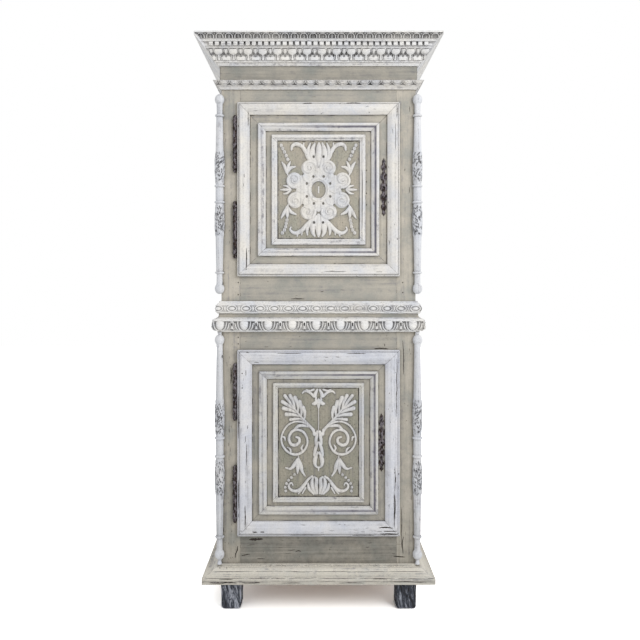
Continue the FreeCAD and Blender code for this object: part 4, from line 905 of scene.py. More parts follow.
lowerStrokeShares = [
    # pendant: leaves from the top edge, then a trefoil
    [(0.03, 1.3, 0.03, 0.6), (0.09, 1.16, 0.05, 0.95), (0.06, 1.03, 0.03, 0.7)],
    [(0.05, 1.02, 0.03, 0.7), (0.14, 1.16, 0.035, 0.9), (0.24, 1.24, 0.035, 0.9), (0.34, 1.26, 0.03, 0.8),
     (0.40, 1.21, 0.02, 0.6)],
    [(0.12, 1.3, 0.03, 0.7), (0.22, 1.27, 0.03, 0.8), (0.3, 1.3, 0.02, 0.6)],
    [(0.02, 1.02, 0.04, 0.8), (0.09, 0.96, 0.05, 0.95), (0.14, 0.95, 0.03, 0.7)],
    # scroll: one stem from the middle, out over the top and round into its eye
    [(0.1, 0.24, 0.035, 0.8), (0.2, 0.38, 0.035, 0.9), (0.36, 0.49, 0.033, 0.95), (0.58, 0.51, 0.028, 0.95),
     (0.78, 0.4, 0.026, 0.95), (0.91, 0.16, 0.026, 0.95), (0.89, -0.06, 0.028, 1.0),
     (0.76, -0.23, 0.032, 1.0), (0.58, -0.3, 0.036, 1.0), (0.4, -0.24, 0.034, 1.0),
     (0.29, -0.08, 0.03, 1.0), (0.28, 0.08, 0.03, 1.0), (0.36, 0.24, 0.034, 1.0), (0.5, 0.31, 0.036, 1.0),
     (0.65, 0.27, 0.038, 1.0), (0.73, 0.12, 0.038, 1.0), (0.69, -0.03, 0.04, 1.0),
     (0.58, -0.07, 0.045, 1.0), (0.48, 0.0, 0.04, 1.0), (0.48, 0.1, 0.036, 1.0), (0.55, 0.13, 0.03, 0.9)],
    [(0.22, 0.38, 0.02, 0.6), (0.34, 0.41, 0.04, 0.9), (0.48, 0.41, 0.045, 0.9), (0.58, 0.33, 0.03, 0.8)],
    [(0.9, 0.14, 0.02, 0.6), (0.84, 0.12, 0.03, 0.8), (0.82, 0.04, 0.015, 0.5)],
    [(0.38, -0.24, 0.02, 0.6), (0.42, -0.14, 0.03, 0.8), (0.38, -0.06, 0.015, 0.5)],
    [(0.68, -0.27, 0.02, 0.6), (0.7, -0.17, 0.03, 0.8), (0.77, -0.12, 0.015, 0.5)],
    # husk chain down the middle
    [(0.02, 0.26, 0.03, 0.7), (0.09, 0.2, 0.05, 0.9), (0.13, 0.25, 0.02, 0.6)],
    [(0.03, 0.26, 0.04, 0.8), (0.055, 0.1, 0.045, 0.95), (0.07, -0.05, 0.03, 0.7)],
    [(0.02, 0.0, 0.03, 0.8), (0.07, -0.15, 0.045, 0.95), (0.105, -0.32, 0.035, 0.7)],
    [(0.02, -0.25, 0.035, 0.8), (0.085, -0.42, 0.055, 1.0), (0.08, -0.56, 0.04, 0.9),
     (0.03, -0.62, 0.025, 0.7)],
    # bellflowers under the scrolls
    [(0.5, -0.31, 0.015, 0.5), (0.49, -0.42, 0.025, 0.6)],
    [(0.5, -0.41, 0.04, 0.8), (0.44, -0.58, 0.055, 1.0), (0.4, -0.72, 0.035, 0.8),
     (0.33, -0.83, 0.02, 0.6)],
    [(0.5, -0.41, 0.04, 0.8), (0.51, -0.6, 0.055, 1.0), (0.52, -0.76, 0.022, 0.7)],
    [(0.51, -0.41, 0.04, 0.8), (0.59, -0.55, 0.055, 1.0), (0.69, -0.65, 0.035, 0.8),
     (0.81, -0.63, 0.02, 0.6)],
    # double palmette and its leaf scrolls
    [(0.03, -1.26, 0.03, 0.7), (0.06, -1.08, 0.05, 0.95), (0.05, -0.92, 0.045, 0.95),
     (0.1, -0.85, 0.02, 0.6)],
    [(0.07, -1.27, 0.03, 0.7), (0.15, -1.1, 0.05, 0.95), (0.16, -0.95, 0.045, 0.9),
     (0.13, -0.86, 0.02, 0.6)],
    [(0.12, -1.27, 0.03, 0.7), (0.23, -1.14, 0.045, 0.9), (0.26, -1.02, 0.03, 0.7)],
    [(0.16, -0.84, 0.03, 0.7), (0.26, -0.92, 0.035, 0.9), (0.35, -1.05, 0.045, 0.95),
     (0.46, -1.17, 0.05, 0.95), (0.6, -1.2, 0.04, 0.9), (0.71, -1.14, 0.035, 0.9),
     (0.73, -1.05, 0.03, 0.8), (0.67, -1.0, 0.024, 0.7), (0.63, -1.06, 0.018, 0.6)],
    [(0.32, -1.12, 0.03, 0.7), (0.4, -1.26, 0.02, 0.5)],
    [(0.42, -1.18, 0.03, 0.7), (0.5, -1.27, 0.02, 0.5)],
]
lowerStemShares = [
    [(0, 0.86, 0.014, 0.5), (0, 0.6, 0.014, 0.5), (0, 0.3, 0.014, 0.5)],
    [(0, 1.05, 0.04, 0.8), (0, 0.95, 0.05, 0.9), (0, 0.84, 0.02, 0.6)],
    [(0, -0.62, 0.03, 0.8), (0, -0.7, 0.018, 0.5)],
]
lowerBudShares = ((0.59, -0.8), (0.67, -0.87), (0.74, -0.94), (0.79, -1.02), (0.82, -1.11), (0.81, -1.2))


def drawLowerTablet(field):
    facts = lowerTablet
    strokes(field, lowerLeafShares)
    strokes(field, lowerStrokeShares)
    strokes(field, lowerStemShares, both=False)
    for across, up in lowerBudShares:
        for side in (1, -1):
            dome(field, (across * side, up), (0.036, 0.042), 0.8)
            dome(field, (across * side, up), (0.01, 0.042), 0.3, cut=True)
    for across, up in facts["drills"]:
        for side in (1, -1):
            half = (facts["drillRadius"], facts["drillRadius"] * 1.4)
            dome(field, (across * side, up), half, 0.7, "flat", cut=True)


for tier, facts, draw in (("upper", upperTablet, drawUpperTablet), ("lower", lowerTablet, drawLowerTablet)):
    shape = nodes[f"{tier}_door_tablet_moulding"].data
    low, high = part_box(f"{tier}_door_tablet_moulding")
    centre = (low.z + high.z) / 2
    halfWidth = min(abs(corner.co.x) for corner in shape.vertices)
    halfHeight = min(abs(corner.co.z - centre) for corner in shape.vertices)
    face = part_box(f"{tier}_door_panel")[0].y
    tall = halfHeight / halfWidth
    columns = int(2 * halfWidth / facts["grid"])
    field = newField(-1, 1, -tall, tall, columns, int(columns * tall))
    draw(field)
    random = np.random.default_rng(facts["seed"])
    punch = random.normal(size=field["rise"].shape)
    punch = (punch + np.roll(punch, 1, 0) + np.roll(punch, 1, 1) + np.roll(punch, (1, 1), (0, 1))) / 4
    quiet = np.clip(1 - field["rise"] * 4, 0.25, 1)  # the ground is punched, the carving nearly smooth
    field["rise"] = np.maximum(field["rise"], 0) + punch * facts["stipple"] * quiet
    name = f"{tier}_tablet_carving"
    material = distemperOak(f"distemper_{tier}_carving", "white", [alongZ], wear=0.4,
                            relief=(face - facts["ground"] - facts["edge"], facts["groundTones"]))
    carvedTablet(name, field, halfWidth, centre, face, facts, material, f"{tier}_door")


# Carved mouldings: one length of pattern is worked into the moulding's section, then repeated
def arcThrough(start, middle, end, count):  # points are complex: outward reach, then height
    skew = (end - start) / (middle - start)
    centre = start - (start - middle) * (skew - abs(skew) ** 2) / (2j * skew.imag)
    sweep = np.angle((middle - centre) / (start - centre)) + np.angle((end - centre) / (middle - centre))
    return centre + (start - centre) * np.exp(1j * sweep * np.linspace(0, 1, count))


def outlinePoints(shares, reach, tall, steps=7):
    points = []
    for item in shares:
        sized = [complex(item[place] * reach, item[place + 1] * tall) for place in range(0, len(item), 2)]
        points += list(arcThrough(points[-1], *sized, steps)[1:]) if len(sized) == 2 else sized
    return points


def repeatStrokes(field, wide, table, form="round", cut=False, both=True):
    for points in table:
        for shift in (-wide, 0, wide):
            for side in (1, -1) if both else (1,):
                stroke(field, [(point[0] * side + shift, *point[1:]) for point in points], form, cut)


def repeatDomes(field, wide, table, form="round", cut=False, both=True):
    for across, up, halfAcross, halfUp, rise in table:
        for shift in (-wide, 0, wide):
            for side in (1, -1) if both else (1,):
                dome(field, (across * side + shift, up), (halfAcross, halfUp), rise, form, cut)


def carvedLength(name, shape):
    reach, tall, rows = shape["reach"], shape["tall"], shape["rows"]
    below = outlinePoints(shape["belowShares"], reach, tall)
    above = outlinePoints(shape["aboveShares"], reach, tall)
    carved = arcThrough(*outlinePoints(shape["carvedShares"], reach, tall), rows)
    outline = np.array(below + list(carved) + above)
    run = np.gradient(carved)
    outward = np.zeros(len(outline), complex)
    outward[len(below):len(below) + rows] = -1j * run / abs(run)
    unit = abs(np.diff(carved)).sum()  # patterns are drawn in lengths of the carved curve
    wide = shape["pitch"] / unit
    field = newField(-wide / 2, wide / 2, 0, 1, shape["columns"], rows)
    shape["draw"](field, wide)
    field["rise"][:, -1] = field["rise"][:, 0]
    height = np.zeros((len(outline), shape["columns"]))
    height[len(below):len(below) + rows] = field["rise"] * shape["depth"]
    # the carved ground is marked for painted shade
    hollow = np.zeros(height.shape)
    inner = slice(len(below) + 1, len(below) + rows - 1)
    hollow[inner] = np.clip((shape["ground"] - field["rise"][1:-1]) / shape["ground"], 0, 1)
    placed = outline[:, None] + outward[:, None] * height
    across = np.broadcast_to(field["across"] * unit, placed.shape)
    points = np.stack([across, -placed.real, placed.imag], axis=-1).reshape(-1, 3)
    corner = np.arange(placed.size).reshape(placed.shape)
    above = np.roll(corner, -1, axis=0)
    faces = np.stack([corner[:, :-1], corner[:, 1:], above[:, 1:], above[:, :-1]], axis=-1).reshape(-1, 4)
    mesh = bpy.data.meshes.new(f"{name}_length")
    mesh.from_pydata(points.tolist(), [], faces.tolist())
    markHollows(mesh, hollow)
    return bpy.data.objects.new(f"{name}_length", mesh)


def repeatTree():
    tree = bpy.data.node_groups.new("repeat_along_a_line", "GeometryNodeTree")
    sockets = {}
    tree.interface.new_socket("Geometry", in_out="INPUT", socket_type="NodeSocketGeometry")
    for name, kind in (("Motif", "Object"), ("Count", "Int"), ("Start", "Vector"), ("Step", "Vector"),
                       ("Turn", "Vector"), ("Finish", "Material")):
        made = tree.interface.new_socket(name, in_out="INPUT", socket_type=f"NodeSocket{kind}")
        sockets[name] = made.identifier
    tree.interface.new_socket("Geometry", in_out="OUTPUT", socket_type="NodeSocketGeometry")
    given = addNode(tree, "NodeGroupInput").outputs
    line = addNode(tree, "GeometryNodeMeshLine",
                   {"Count": given["Count"], "Start Location": given["Start"], "Offset": given["Step"]})
    motif = addNode(tree, "GeometryNodeObjectInfo", {"Object": given["Motif"]})
    turn = addNode(tree, "FunctionNodeEulerToRotation", {0: given["Turn"]})
    laid = addNode(tree, "GeometryNodeInstanceOnPoints",
                   {"Points": line, "Instance": motif.outputs["Geometry"], "Rotation": turn})
    solid = addNode(tree, "GeometryNodeRealizeInstances", {0: laid})
    finished = addNode(tree, "GeometryNodeSetMaterial", {"Geometry": solid, "Material": given["Finish"]})
    addNode(tree, "NodeGroupOutput", {0: finished})
    return tree, sockets


repeatNodes, repeatSockets = repeatTree()


def laidOut(values):  # the repeated mesh, as a plain one
    carrier = bpy.data.objects.new("carrier", bpy.data.meshes.new("carrier"))
    bpy.context.collection.objects.link(carrier)
    modifier = carrier.modifiers.new("repeat", "NODES")
    modifier.node_group = repeatNodes
    for name, value in values.items():
        modifier[repeatSockets[name]] = value
    ready = carrier.evaluated_get(bpy.context.evaluated_depsgraph_get())
    mesh = bpy.data.meshes.new_from_object(ready)
    carrier.modifiers.remove(modifier)
    spent = carrier.data
    bpy.data.objects.remove(carrier)
    bpy.data.meshes.remove(spent)
    return mesh


def cutOff(work, place, facing):
    bmesh.ops.bisect_plane(work, geom=[*work.verts, *work.edges, *work.faces], dist=onPlane, plane_co=place,
                           plane_no=facing, clear_outer=True)


# The front stretch, and where the pattern goes round the case the two side stretches, mitred
def carvedMoulding(name, shape, foot, material, replaced=(), sides=True):
    motif = carvedLength(name, shape)
    pitch, reach, shift, inset = shape["pitch"], shape["reach"], shape["shift"], shape["inset"]
    half = math.ceil((caseHalf + reach + abs(shift)) / pitch)
    stretches = [(0, Vector((shift - half * pitch, caseFront, foot)), Vector((pitch, 0, 0)), 2 * half + 1)]
    if sides:
        before = math.ceil((reach + inset) / pitch)
        count = before + 1 + math.ceil((caseBack - caseFront - inset) / pitch)
        nearest = caseFront + inset - before * pitch
        for side in (-1, 1):
            stretches.append((side, Vector((side * caseHalf, nearest, foot)), Vector((0, pitch, 0)), count))
    whole = bmesh.new()
    for side, start, step, count in stretches:
        mesh = laidOut({"Motif": motif, "Count": count, "Start": start, "Step": step,
                        "Turn": (0, 0, side * math.pi / 2), "Finish": material})
        work = bmesh.new()
        work.from_mesh(mesh)
        bpy.data.meshes.remove(mesh)
        bmesh.ops.remove_doubles(work, verts=work.verts, dist=merged)
        for way in (side,) if side else (-1, 1):
            facing = (-side, -1, 0) if side else (way, 1, 0)
            cutOff(work, (way * caseHalf, caseFront, 0), facing)
        if side:
            cutOff(work, (0, caseBack, 0), (0, 1, 0))
        bmesh.ops.holes_fill(work, edges=[edge for edge in work.edges if edge.is_boundary], sides=0)
        stretch = bpy.data.meshes.new(f"{name}_stretch")
        work.to_mesh(stretch)
        work.free()
        whole.from_mesh(stretch)
        bpy.data.meshes.remove(stretch)
    noise.seed_set(shape["seed"])
    for corner in whole.verts:  # the carver's hand: nothing is quite straight
        corner.co += noise.noise_vector(corner.co * shape["wander"]) * shape["waver"]
    bmesh.ops.recalc_face_normals(whole, faces=whole.faces)
    spent = motif.data
    bpy.data.objects.remove(motif)
    bpy.data.meshes.remove(spent)
    return solidFrom(name, whole, material, "cabinet", replaced)


# The patterns. Every number in them is a share of the carved curve's length, or a rise.
# Egg and dart: eggs in their husks, and between them darts with two drilled holes
def drawEggs(field, wide):
    middle = wide / 2
    repeatStrokes(field, wide, [[(0, 1.1, 0.43, 1.0), (0, 0.62, 0.43, 1.0), (0, 0.42, 0.34, 0.95)]],
                  both=False)
    repeatStrokes(field, wide, [
        [(0.63, 1.04, 0.075, 0.85), (0.66, 0.74, 0.075, 0.9), (0.56, 0.36, 0.075, 0.9),
         (0.34, 0.1, 0.07, 0.85), (0, -0.02, 0.07, 0.7)],
        [(0.95, 0.8, 0.07, 0.6), (0.86, 0.46, 0.09, 0.7), (0.68, 0.14, 0.07, 0.6)],
    ])
    repeatStrokes(field, wide, [
        [(middle, 1.04, 0.2, 0.8), (middle, 0.7, 0.19, 0.9), (middle, 0.42, 0.12, 0.85),
         (middle, 0.1, 0.16, 0.7)],
    ], both=False)
    repeatDomes(field, wide, [(middle, 0.66, 0.085, 0.15, 1.0), (middle, 0.14, 0.12, 0.1, 0.9)], "flat",
                cut=True, both=False)


# Guilloche: a chain of oval bosses, each in a groove and a rim, with links between the rims
def drawOvals(field, wide):
    half = wide / 2
    rim = [(0.6 * math.cos(turn), 0.5 + 0.36 * math.sin(turn), 0.085, 0.85)
           for turn in np.linspace(0, math.tau, 17)]
    repeatStrokes(field, wide, [rim], both=False)
    repeatDomes(field, wide, [(0, 0.5, 0.38, 0.2, 1.0), (half, 0.5, 0.16, 0.13, 0.8)], both=False)
    repeatStrokes(field, wide, [
        [(half, 0.55, 0.07, 0.6), (half - 0.14, 0.78, 0.07, 0.5)],
        [(half, 0.45, 0.07, 0.6), (half - 0.14, 0.22, 0.07, 0.5)],
        [(half, 0.97, 0.1, 0.5), (0, 0.97, 0.1, 0.5)],
        [(half, 0.03, 0.1, 0.5), (0, 0.03, 0.1, 0.5)],
    ])


# Lamb's tongues: hanging scallops, one inside the other, with dark spandrels between them
def drawTongues(field, wide):
    half = wide / 2
    repeatDomes(field, wide, [(half, 1.0, half * 0.86, 0.86, 0.42)], "flat", both=False)
    for share, thick, rise in ((0.98, 0.1, 1.0), (0.6, 0.08, 0.85)):
        line = [(half - half * share * math.cos(turn), 1.02 - 0.94 * share * math.sin(turn), thick, rise)
                for turn in np.linspace(0, math.pi, 11)]
        repeatStrokes(field, wide, [line], both=False)
    repeatDomes(field, wide, [(half, 1.0, half * 0.3, 0.34, 0.9)], both=False)
    repeatStrokes(field, wide, [[(half, 0.07, 0.07, 0.7), (half * 1.5, 0.03, 0.07, 0.6)]])


# Upper crown band: leaves under arches, with wedges between the arches
def drawArches(field, wide):
    half = wide / 2
    repeatStrokes(field, wide, [
        [(half * 0.7, -0.04, 0.08, 0.8), (half * 0.72, 0.4, 0.085, 0.9), (half * 0.5, 0.76, 0.08, 0.95),
         (0, 0.93, 0.08, 0.95)],
    ])
    repeatStrokes(field, wide, [
        [(half, 1.05, half * 0.36, 0.85), (half, 0.84, half * 0.16, 0.8), (half, 0.62, 0.03, 0.6)],
    ], "flat", both=False)
    repeatStrokes(field, wide, [[(0, 0.0, 0.1, 0.5), (0, 0.36, 0.19, 0.7), (0, 0.68, 0.06, 0.5)]],
                  both=False)
    repeatStrokes(field, wide, [[(0, 0.02, 0.04, 0.6), (0, 0.66, 0.035, 0.5)]], "ridge", cut=True,
                  both=False)
    repeatStrokes(field, wide, [
        [(0.03, 0.16, 0.03, 0.5), (0.17, 0.34, 0.03, 0.5)],
        [(0.03, 0.36, 0.03, 0.5), (0.16, 0.54, 0.03, 0.5)],
    ], "ridge", cut=True)


# Lower crown band: broad leaves on tongues, and darts that end in a drilled hole
def drawLeaves(field, wide):
    half = wide / 2
    repeatDomes(field, wide, [(half, 0.1, half * 0.68, 0.34, 0.7)], both=False)
    repeatDomes(field, wide, [(0, 0.76, half * 0.6, 0.33, 1.0)], both=False)
    repeatStrokes(field, wide, [
        [(0, 0.6, 0.1, 0.8), (0, 0.3, 0.08, 0.8), (0, -0.03, 0.13, 0.75)],
        [(half, 1.05, half * 0.28, 0.9), (half, 0.74, half * 0.16, 0.9), (half, 0.5, 0.05, 0.7)],
    ], both=False)
    repeatStrokes(field, wide, [
        [(half * 0.98, 0.5, 0.03, 0.6), (half * 0.78, 0.4, 0.05, 0.8), (half * 0.5, 0.42, 0.03, 0.6)],
    ])
    repeatStrokes(field, wide, [
        [(half * 0.26, 0.42, 0.03, 0.6), (half * 0.28, 0.22, 0.05, 0.9), (half * 0.4, 0.0, 0.055, 0.8)],
        [(half * 0.58, 1.02, 0.065, 0.9), (half * 0.72, 0.76, 0.05, 0.9), (half * 0.92, 0.52, 0.03, 0.6)],
    ], "flat", cut=True)
    repeatDomes(field, wide, [(half, 0.36, 0.085, 0.095, 1.0)], "flat", cut=True, both=False)
    field["rise"] = np.maximum(field["rise"], -0.35)


carvedShapes = {
    "egg_and_dart": {
        "reach": 36 * mm, "tall": 52 * mm, "pitch": 85.75 * mm, "depth": 8 * mm,
        "belowShares": [(0, 0), (0.3, 0), (0.34, 0.06), (0.46, 0.1)],
        "carvedShares": [(0.5, 0.13), (0.72, 0.42), (0.6, 0.73)],
        "aboveShares": [(0.78, 0.74), (0.8, 0.82), (0.72, 0.9), (0.42, 0.93), (0.42, 1), (0, 1)],
        "rows": 30, "columns": 61, "shift": -7.6 * mm, "inset": 6 * mm, "ground": 0.3,
        "draw": drawEggs,
    },
    "guilloche": {
        "reach": 22 * mm, "tall": 44 * mm, "pitch": 50.45 * mm, "depth": 4.6 * mm,
        "belowShares": [(0, 0), (0.56, 0), (0.62, 0.05)],
        "carvedShares": [(0.6, 0.09), (0.76, 0.4), (0.56, 0.72)],
        "aboveShares": [(0.64, 0.74), (0.6, 0.8), (0.4, 0.86), (0.3, 0.88), (0.3, 1), (0, 1)],
        "rows": 27, "columns": 45, "shift": -7 * mm, "inset": 6.6 * mm, "ground": 0.35,
        "draw": drawOvals,
    },
    "lambs_tongue": {
        "reach": 27 * mm, "tall": 28 * mm, "pitch": 38.7 * mm, "depth": 3.4 * mm,
        "belowShares": [(0, 0), (0.2, 0), (0.24, 0.12), (0.34, 0.24, 0.54, 0.4)],
        "carvedShares": [(0.58, 0.43), (0.7, 0.70), (0.86, 0.93)],
        "aboveShares": [(0.97, 0.94), (0.99, 1), (0, 1)],
        "rows": 22, "columns": 41, "shift": -9 * mm, "inset": 10 * mm, "ground": 0.35,
        "draw": drawTongues,
    },
    "crown_arches": {
        "reach": 84 * mm, "tall": 98 * mm, "pitch": 32.75 * mm, "depth": 3.6 * mm,
        "belowShares": [(0.74, 0.84), (0.77, 0.79)],
        "carvedShares": [(0.788, 0.795), (0.855, 0.9), (0.965, 0.952)],
        "aboveShares": [(0.9, 0.98), (0.8, 0.97)],
        "rows": 24, "columns": 35, "shift": 14 * mm, "inset": 0, "ground": 0.35, "draw": drawArches,
    },
    "crown_leaves": {
        "reach": 84 * mm, "tall": 98 * mm, "pitch": 52.3 * mm, "depth": 4.4 * mm,
        "belowShares": [(0.24, 0.3), (0.262, 0.165)],
        "carvedShares": [(0.275, 0.165), (0.37, 0.312), (0.566, 0.503)],
        "aboveShares": [(0.5, 0.53), (0.4, 0.5)],
        "rows": 30, "columns": 41, "shift": 11.5 * mm, "inset": 0, "ground": 0.25, "draw": drawLeaves,
    },
}
for name, node, paint in (("egg_and_dart", "waist_egg_moulding", whiteCase),
                          ("guilloche", "waist_guilloche_moulding", whiteCase),
                          ("lambs_tongue", "neck_moulding", whiteNeck)):
    shape = dict(carvedShapes[name], wander=38, waver=0.35 * mm, seed=3)
    carvedMoulding(name, shape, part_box(node)[0].z, paint, (node,))
for name in ("crown_arches", "crown_leaves"):
    shape = dict(carvedShapes[name], wander=38, waver=0.25 * mm, seed=3)
    carvedMoulding(name, shape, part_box("crown_moulding")[0].z, whiteCrown, sides=False)
print("mouldings carved")


# Turned work: an outline turned round an upright axis, with leaves cut into it where it is carved
def turnedWork(outlines, axis, sides, carvings=None):
    work = bmesh.new()
    hollows = []
    turns = np.linspace(0, math.tau, sides, endpoint=False)
    for outline in outlines:
        line = np.array(outline)
        radius = np.repeat(line.real[:, None], sides, axis=1)
        hollow = np.zeros(radius.shape)
        for first, relief, ground in carvings or ():
            radius[first:first + len(relief)] += relief
            hollow[first:first + len(relief)] = ground
        points = np.stack([axis[0] + radius * np.cos(turns), axis[1] + radius * np.sin(turns),
                           np.repeat(line.imag[:, None], sides, axis=1)], axis=-1).reshape(-1, 3)
        corner = np.arange(radius.size).reshape(radius.shape)
        beside = np.roll(corner, -1, axis=1)
        faces = np.stack([corner[:-1], beside[:-1], beside[1:], corner[1:]], axis=-1).reshape(-1, 4)
        mesh = bpy.data.meshes.new("turning")
        mesh.from_pydata(points.tolist(), [], [*faces.tolist(), corner[0].tolist(), corner[-1].tolist()])
        markHollows(mesh, hollow)
        work.from_mesh(mesh)
        bpy.data.meshes.remove(mesh)
    bmesh.ops.recalc_face_normals(work, faces=work.faces)
    return work


# Corner columns: blocks and rings in the middle, carved vases, long necks, and balls at the ends
columnFacts = {
    "radius": 17 * mm,
    "outside": 6 * mm,     # axis outside the case's corner
    "ball": 36 * mm,
    "pin": 6.5 * mm,
    "footPin": 16 * mm,
    "headPin": 10 * mm,
    "sides": 112,
    "rows": 104,
    "depth": 3.2 * mm,
    "fullness": 0.35,
    "leaves": 6,
    "tiers": 6,
    "lean": 0.1,
    "slits": 190,
    "seeds": (16, 10),
    # shares of the vase's girth: leaf spines (up the leaf, half width, rise), the slits' least and spread
    "leafShares": ((0, 0.022, 0.7), (0.5, 0.034, 1.0), (1, 0.014, 0.9)),
    "lobeReachShare": 0.085,
    "lobeHalfShare": 0.019,
    "slitRunShares": (0.015, 0.05),
    "slitHalfShares": (0.008, 0.007),
    "slitLean": (-0.4, 1.6),
    "drillShare": 0.018,
    # shares of the largest radius, and of the length from the middle to the ball
    "blockShares": [(0.85, 0.0), (0.84, 0.064), (0.77, 0.072), (0.8, 0.076), (1.07, 0.09, 0.8, 0.104),
                    (0.77, 0.108)],
    "vaseShares": [(0.82, 0.114), (1.0, 0.27), (0.86, 0.47)],
    "neckShares": [(0.83, 0.485), (0.7, 0.854), (0.63, 0.859), (0.7, 0.862), (0.96, 0.874, 0.7, 0.886),
                   (0.6, 0.89), (0.63, 0.97), (0.65, 1.0)],
    "plainNeckShares": [(0.83, 0.485), (0.7, 0.86), (0.66, 0.97), (0.65, 1.0)],
}


def carvedVase(length, radius, facts, seed):
    girth = math.tau * radius
    tall = length / girth
    field = newField(0, 1, 0, tall, facts["sides"] + 1, facts["rows"])
    field["rise"] += facts["fullness"]
    random = np.random.default_rng(seed)
    for tier in range(facts["tiers"]):
        for place in range(facts["leaves"]):
            start = (place + 0.5 * (tier % 2)) / facts["leaves"]
            foot = (tier - 0.4) * tall / facts["tiers"]
            for shift in (-1, 0, 1):
                spine = [(start + shift + facts["lean"] * share, foot + tall * 0.3 * share, wide, rise)
                         for share, wide, rise in facts["leafShares"]]
                acanthus(field, spine, 3, facts["lobeReachShare"], facts["lobeHalfShare"], 0.85)
    for count in range(facts["slits"]):
        across, up = random.random(), 0.04 + random.random() * (tall - 0.1)
        run, half, lean = (least + random.random() * spread
                           for least, spread in (facts["slitRunShares"], facts["slitHalfShares"],
                                                 facts["slitLean"]))
        for shift in (-1, 0, 1):
            line = [(across + shift, up, half, 1.0),
                    (across + shift + run * lean, up + run, half * 0.7, 0.8)]
            stroke(field, line, "flat", cut=True)
            if count % 5 == 0:
                dome(field, (across + shift, up), (facts["drillShare"],) * 2, 1.2, "flat", cut=True)
    field["rise"] = np.maximum(field["rise"], -0.3)
    field["rise"][:, -1] = field["rise"][:, 0]
    rise = field["rise"][:, :-1]
    margin = np.clip(np.minimum(field["up"], tall - field["up"]) / 0.03, 0, 1)[:, None]
    relief = (rise - 0.6) * facts["depth"] * margin
    # the ground between the leaves is marked for painted shade
    return relief, np.clip((0.25 - rise) / 0.25, 0, 1) * (margin > 0.5)


def columnWork(low, high, side, hasPins):
    facts = columnFacts
    radius, ball = facts["radius"], facts["ball"]
    pinLow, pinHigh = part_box("base_moulding")[1].z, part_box("waist_egg_moulding")[0].z
    middle = (low + high) / 2
    reach = (high - low) / 2 - ball
    block = outlinePoints(facts["blockShares"], radius, reach)
    vase = list(arcThrough(*outlinePoints(facts["vaseShares"], radius, reach), facts["rows"]))
    vaseLength = abs(np.diff(vase)).sum()
    ballLine = [complex(radius * math.sqrt(1 - ((share - 0.47) / 0.55) ** 2), reach + share * ball)
                for share in np.linspace(0.06, 1, 13)]
    outline, carvings = [], []
    for way in (-1, 1):
        plain = hasPins and way > 0  # the lower columns have no ring under their top balls
        neck = outlinePoints(facts["plainNeckShares" if plain else "neckShares"], radius, reach)
        half = block + vase + neck + ballLine
        pin = (pinHigh if way > 0 else pinLow) - middle
        if hasPins:  # the turned pin widens towards its far end
            half += [complex(facts["pin"] * 0.8, half[-1].imag + mm), complex(facts["pin"] * 1.3, abs(pin))]
        relief, ground = carvedVase(vaseLength, radius, facts, facts["seeds"][hasPins] + 3 * side + way)
        if way < 0:
            outline = [complex(point.real, middle - point.imag) for point in reversed(half)]
            first = len(half) - len(block) - len(vase)
            carvings.append((first, relief[::-1], ground[::-1]))
        else:
            carvings.append((len(outline) + len(block), relief, ground))
            outline += [complex(point.real, middle + point.imag) for point in half]
    axis = (side * (caseHalf + facts["outside"]), caseFront - facts["outside"])
    return turnedWork([outline], axis, facts["sides"], carvings)


for tier, hasPins in (("upper", False), ("lower", True)):
    for side, sideName in ((-1, "left"), (1, "right")):
        node = f"{tier}_column_{sideName}"
        low, high = (corner.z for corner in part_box(node))
        if hasPins:
            low += columnFacts["footPin"]
            high -= columnFacts["headPin"]
        work = columnWork(low, high, side, hasPins)
        solidFrom(f"{tier}_turned_column_{sideName}", work, whiteUpright, "cabinet", (node,))

# Hinge barrels: beads and urn ends turned on the plain barrels, for each half of each hinge
hingeFacts = {
    "radius": 7 * mm,
    "half": 103 * mm,
    "gap": 0.4 * mm,
    "sides": 20,
    # shares of the barrel's radius, and of the length from the joint to the tip
    "outlineShares": [(1.03, 0.0), (1.2, 0.006), (1.2, 0.04), (1.04, 0.055), (1.03, 0.24), (1.16, 0.26),
                      (1.16, 0.29), (1.03, 0.31), (1.03, 0.52), (1.14, 0.54), (1.14, 0.57), (1.03, 0.59),
                      (1.04, 0.77), (1.2, 0.79), (1.2, 0.83), (0.9, 0.84), (0.56, 0.87), (0.9, 0.905),
                      (0.98, 0.935), (0.72, 0.975), (0.3, 0.998)],
}
for tier in tiers:
    joint = next(item for item in frame["joints"] if item["name"] == f"{tier}_door_swing")
    for kind, body, way in (("case", "cabinet", -1), ("door", f"{tier}_door", 1)):
        low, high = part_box(f"{tier}_hinge_{kind}_halves")
        spread = (high.z - low.z - hingeFacts["half"]) / 2
        middle = (high.z + low.z) / 2 - way * hingeFacts["half"] / 2
        outlines = []
        for place in (middle - spread, middle + spread):
            half = outlinePoints(hingeFacts["outlineShares"], hingeFacts["radius"], hingeFacts["half"])
            start = place + way * hingeFacts["gap"] / 2
            outlines.append([complex(point.real, start + way * point.imag) for point in half])
        work = turnedWork(outlines, joint["pos_m"][:2], hingeFacts["sides"])
        solidFrom(f"{tier}_hinge_{kind}_turning", work, paintedIron, body)
print("turned work done")

# Feet: rough sawn blocks with torn grain and rounded lower edges
footFacts = {"cuts": 27, "rounding": 13 * mm, "tear": 2.6 * mm, "swelling": 4.2 * mm,
             "tearSizes": Vector((8, 8, 60)) * mm}


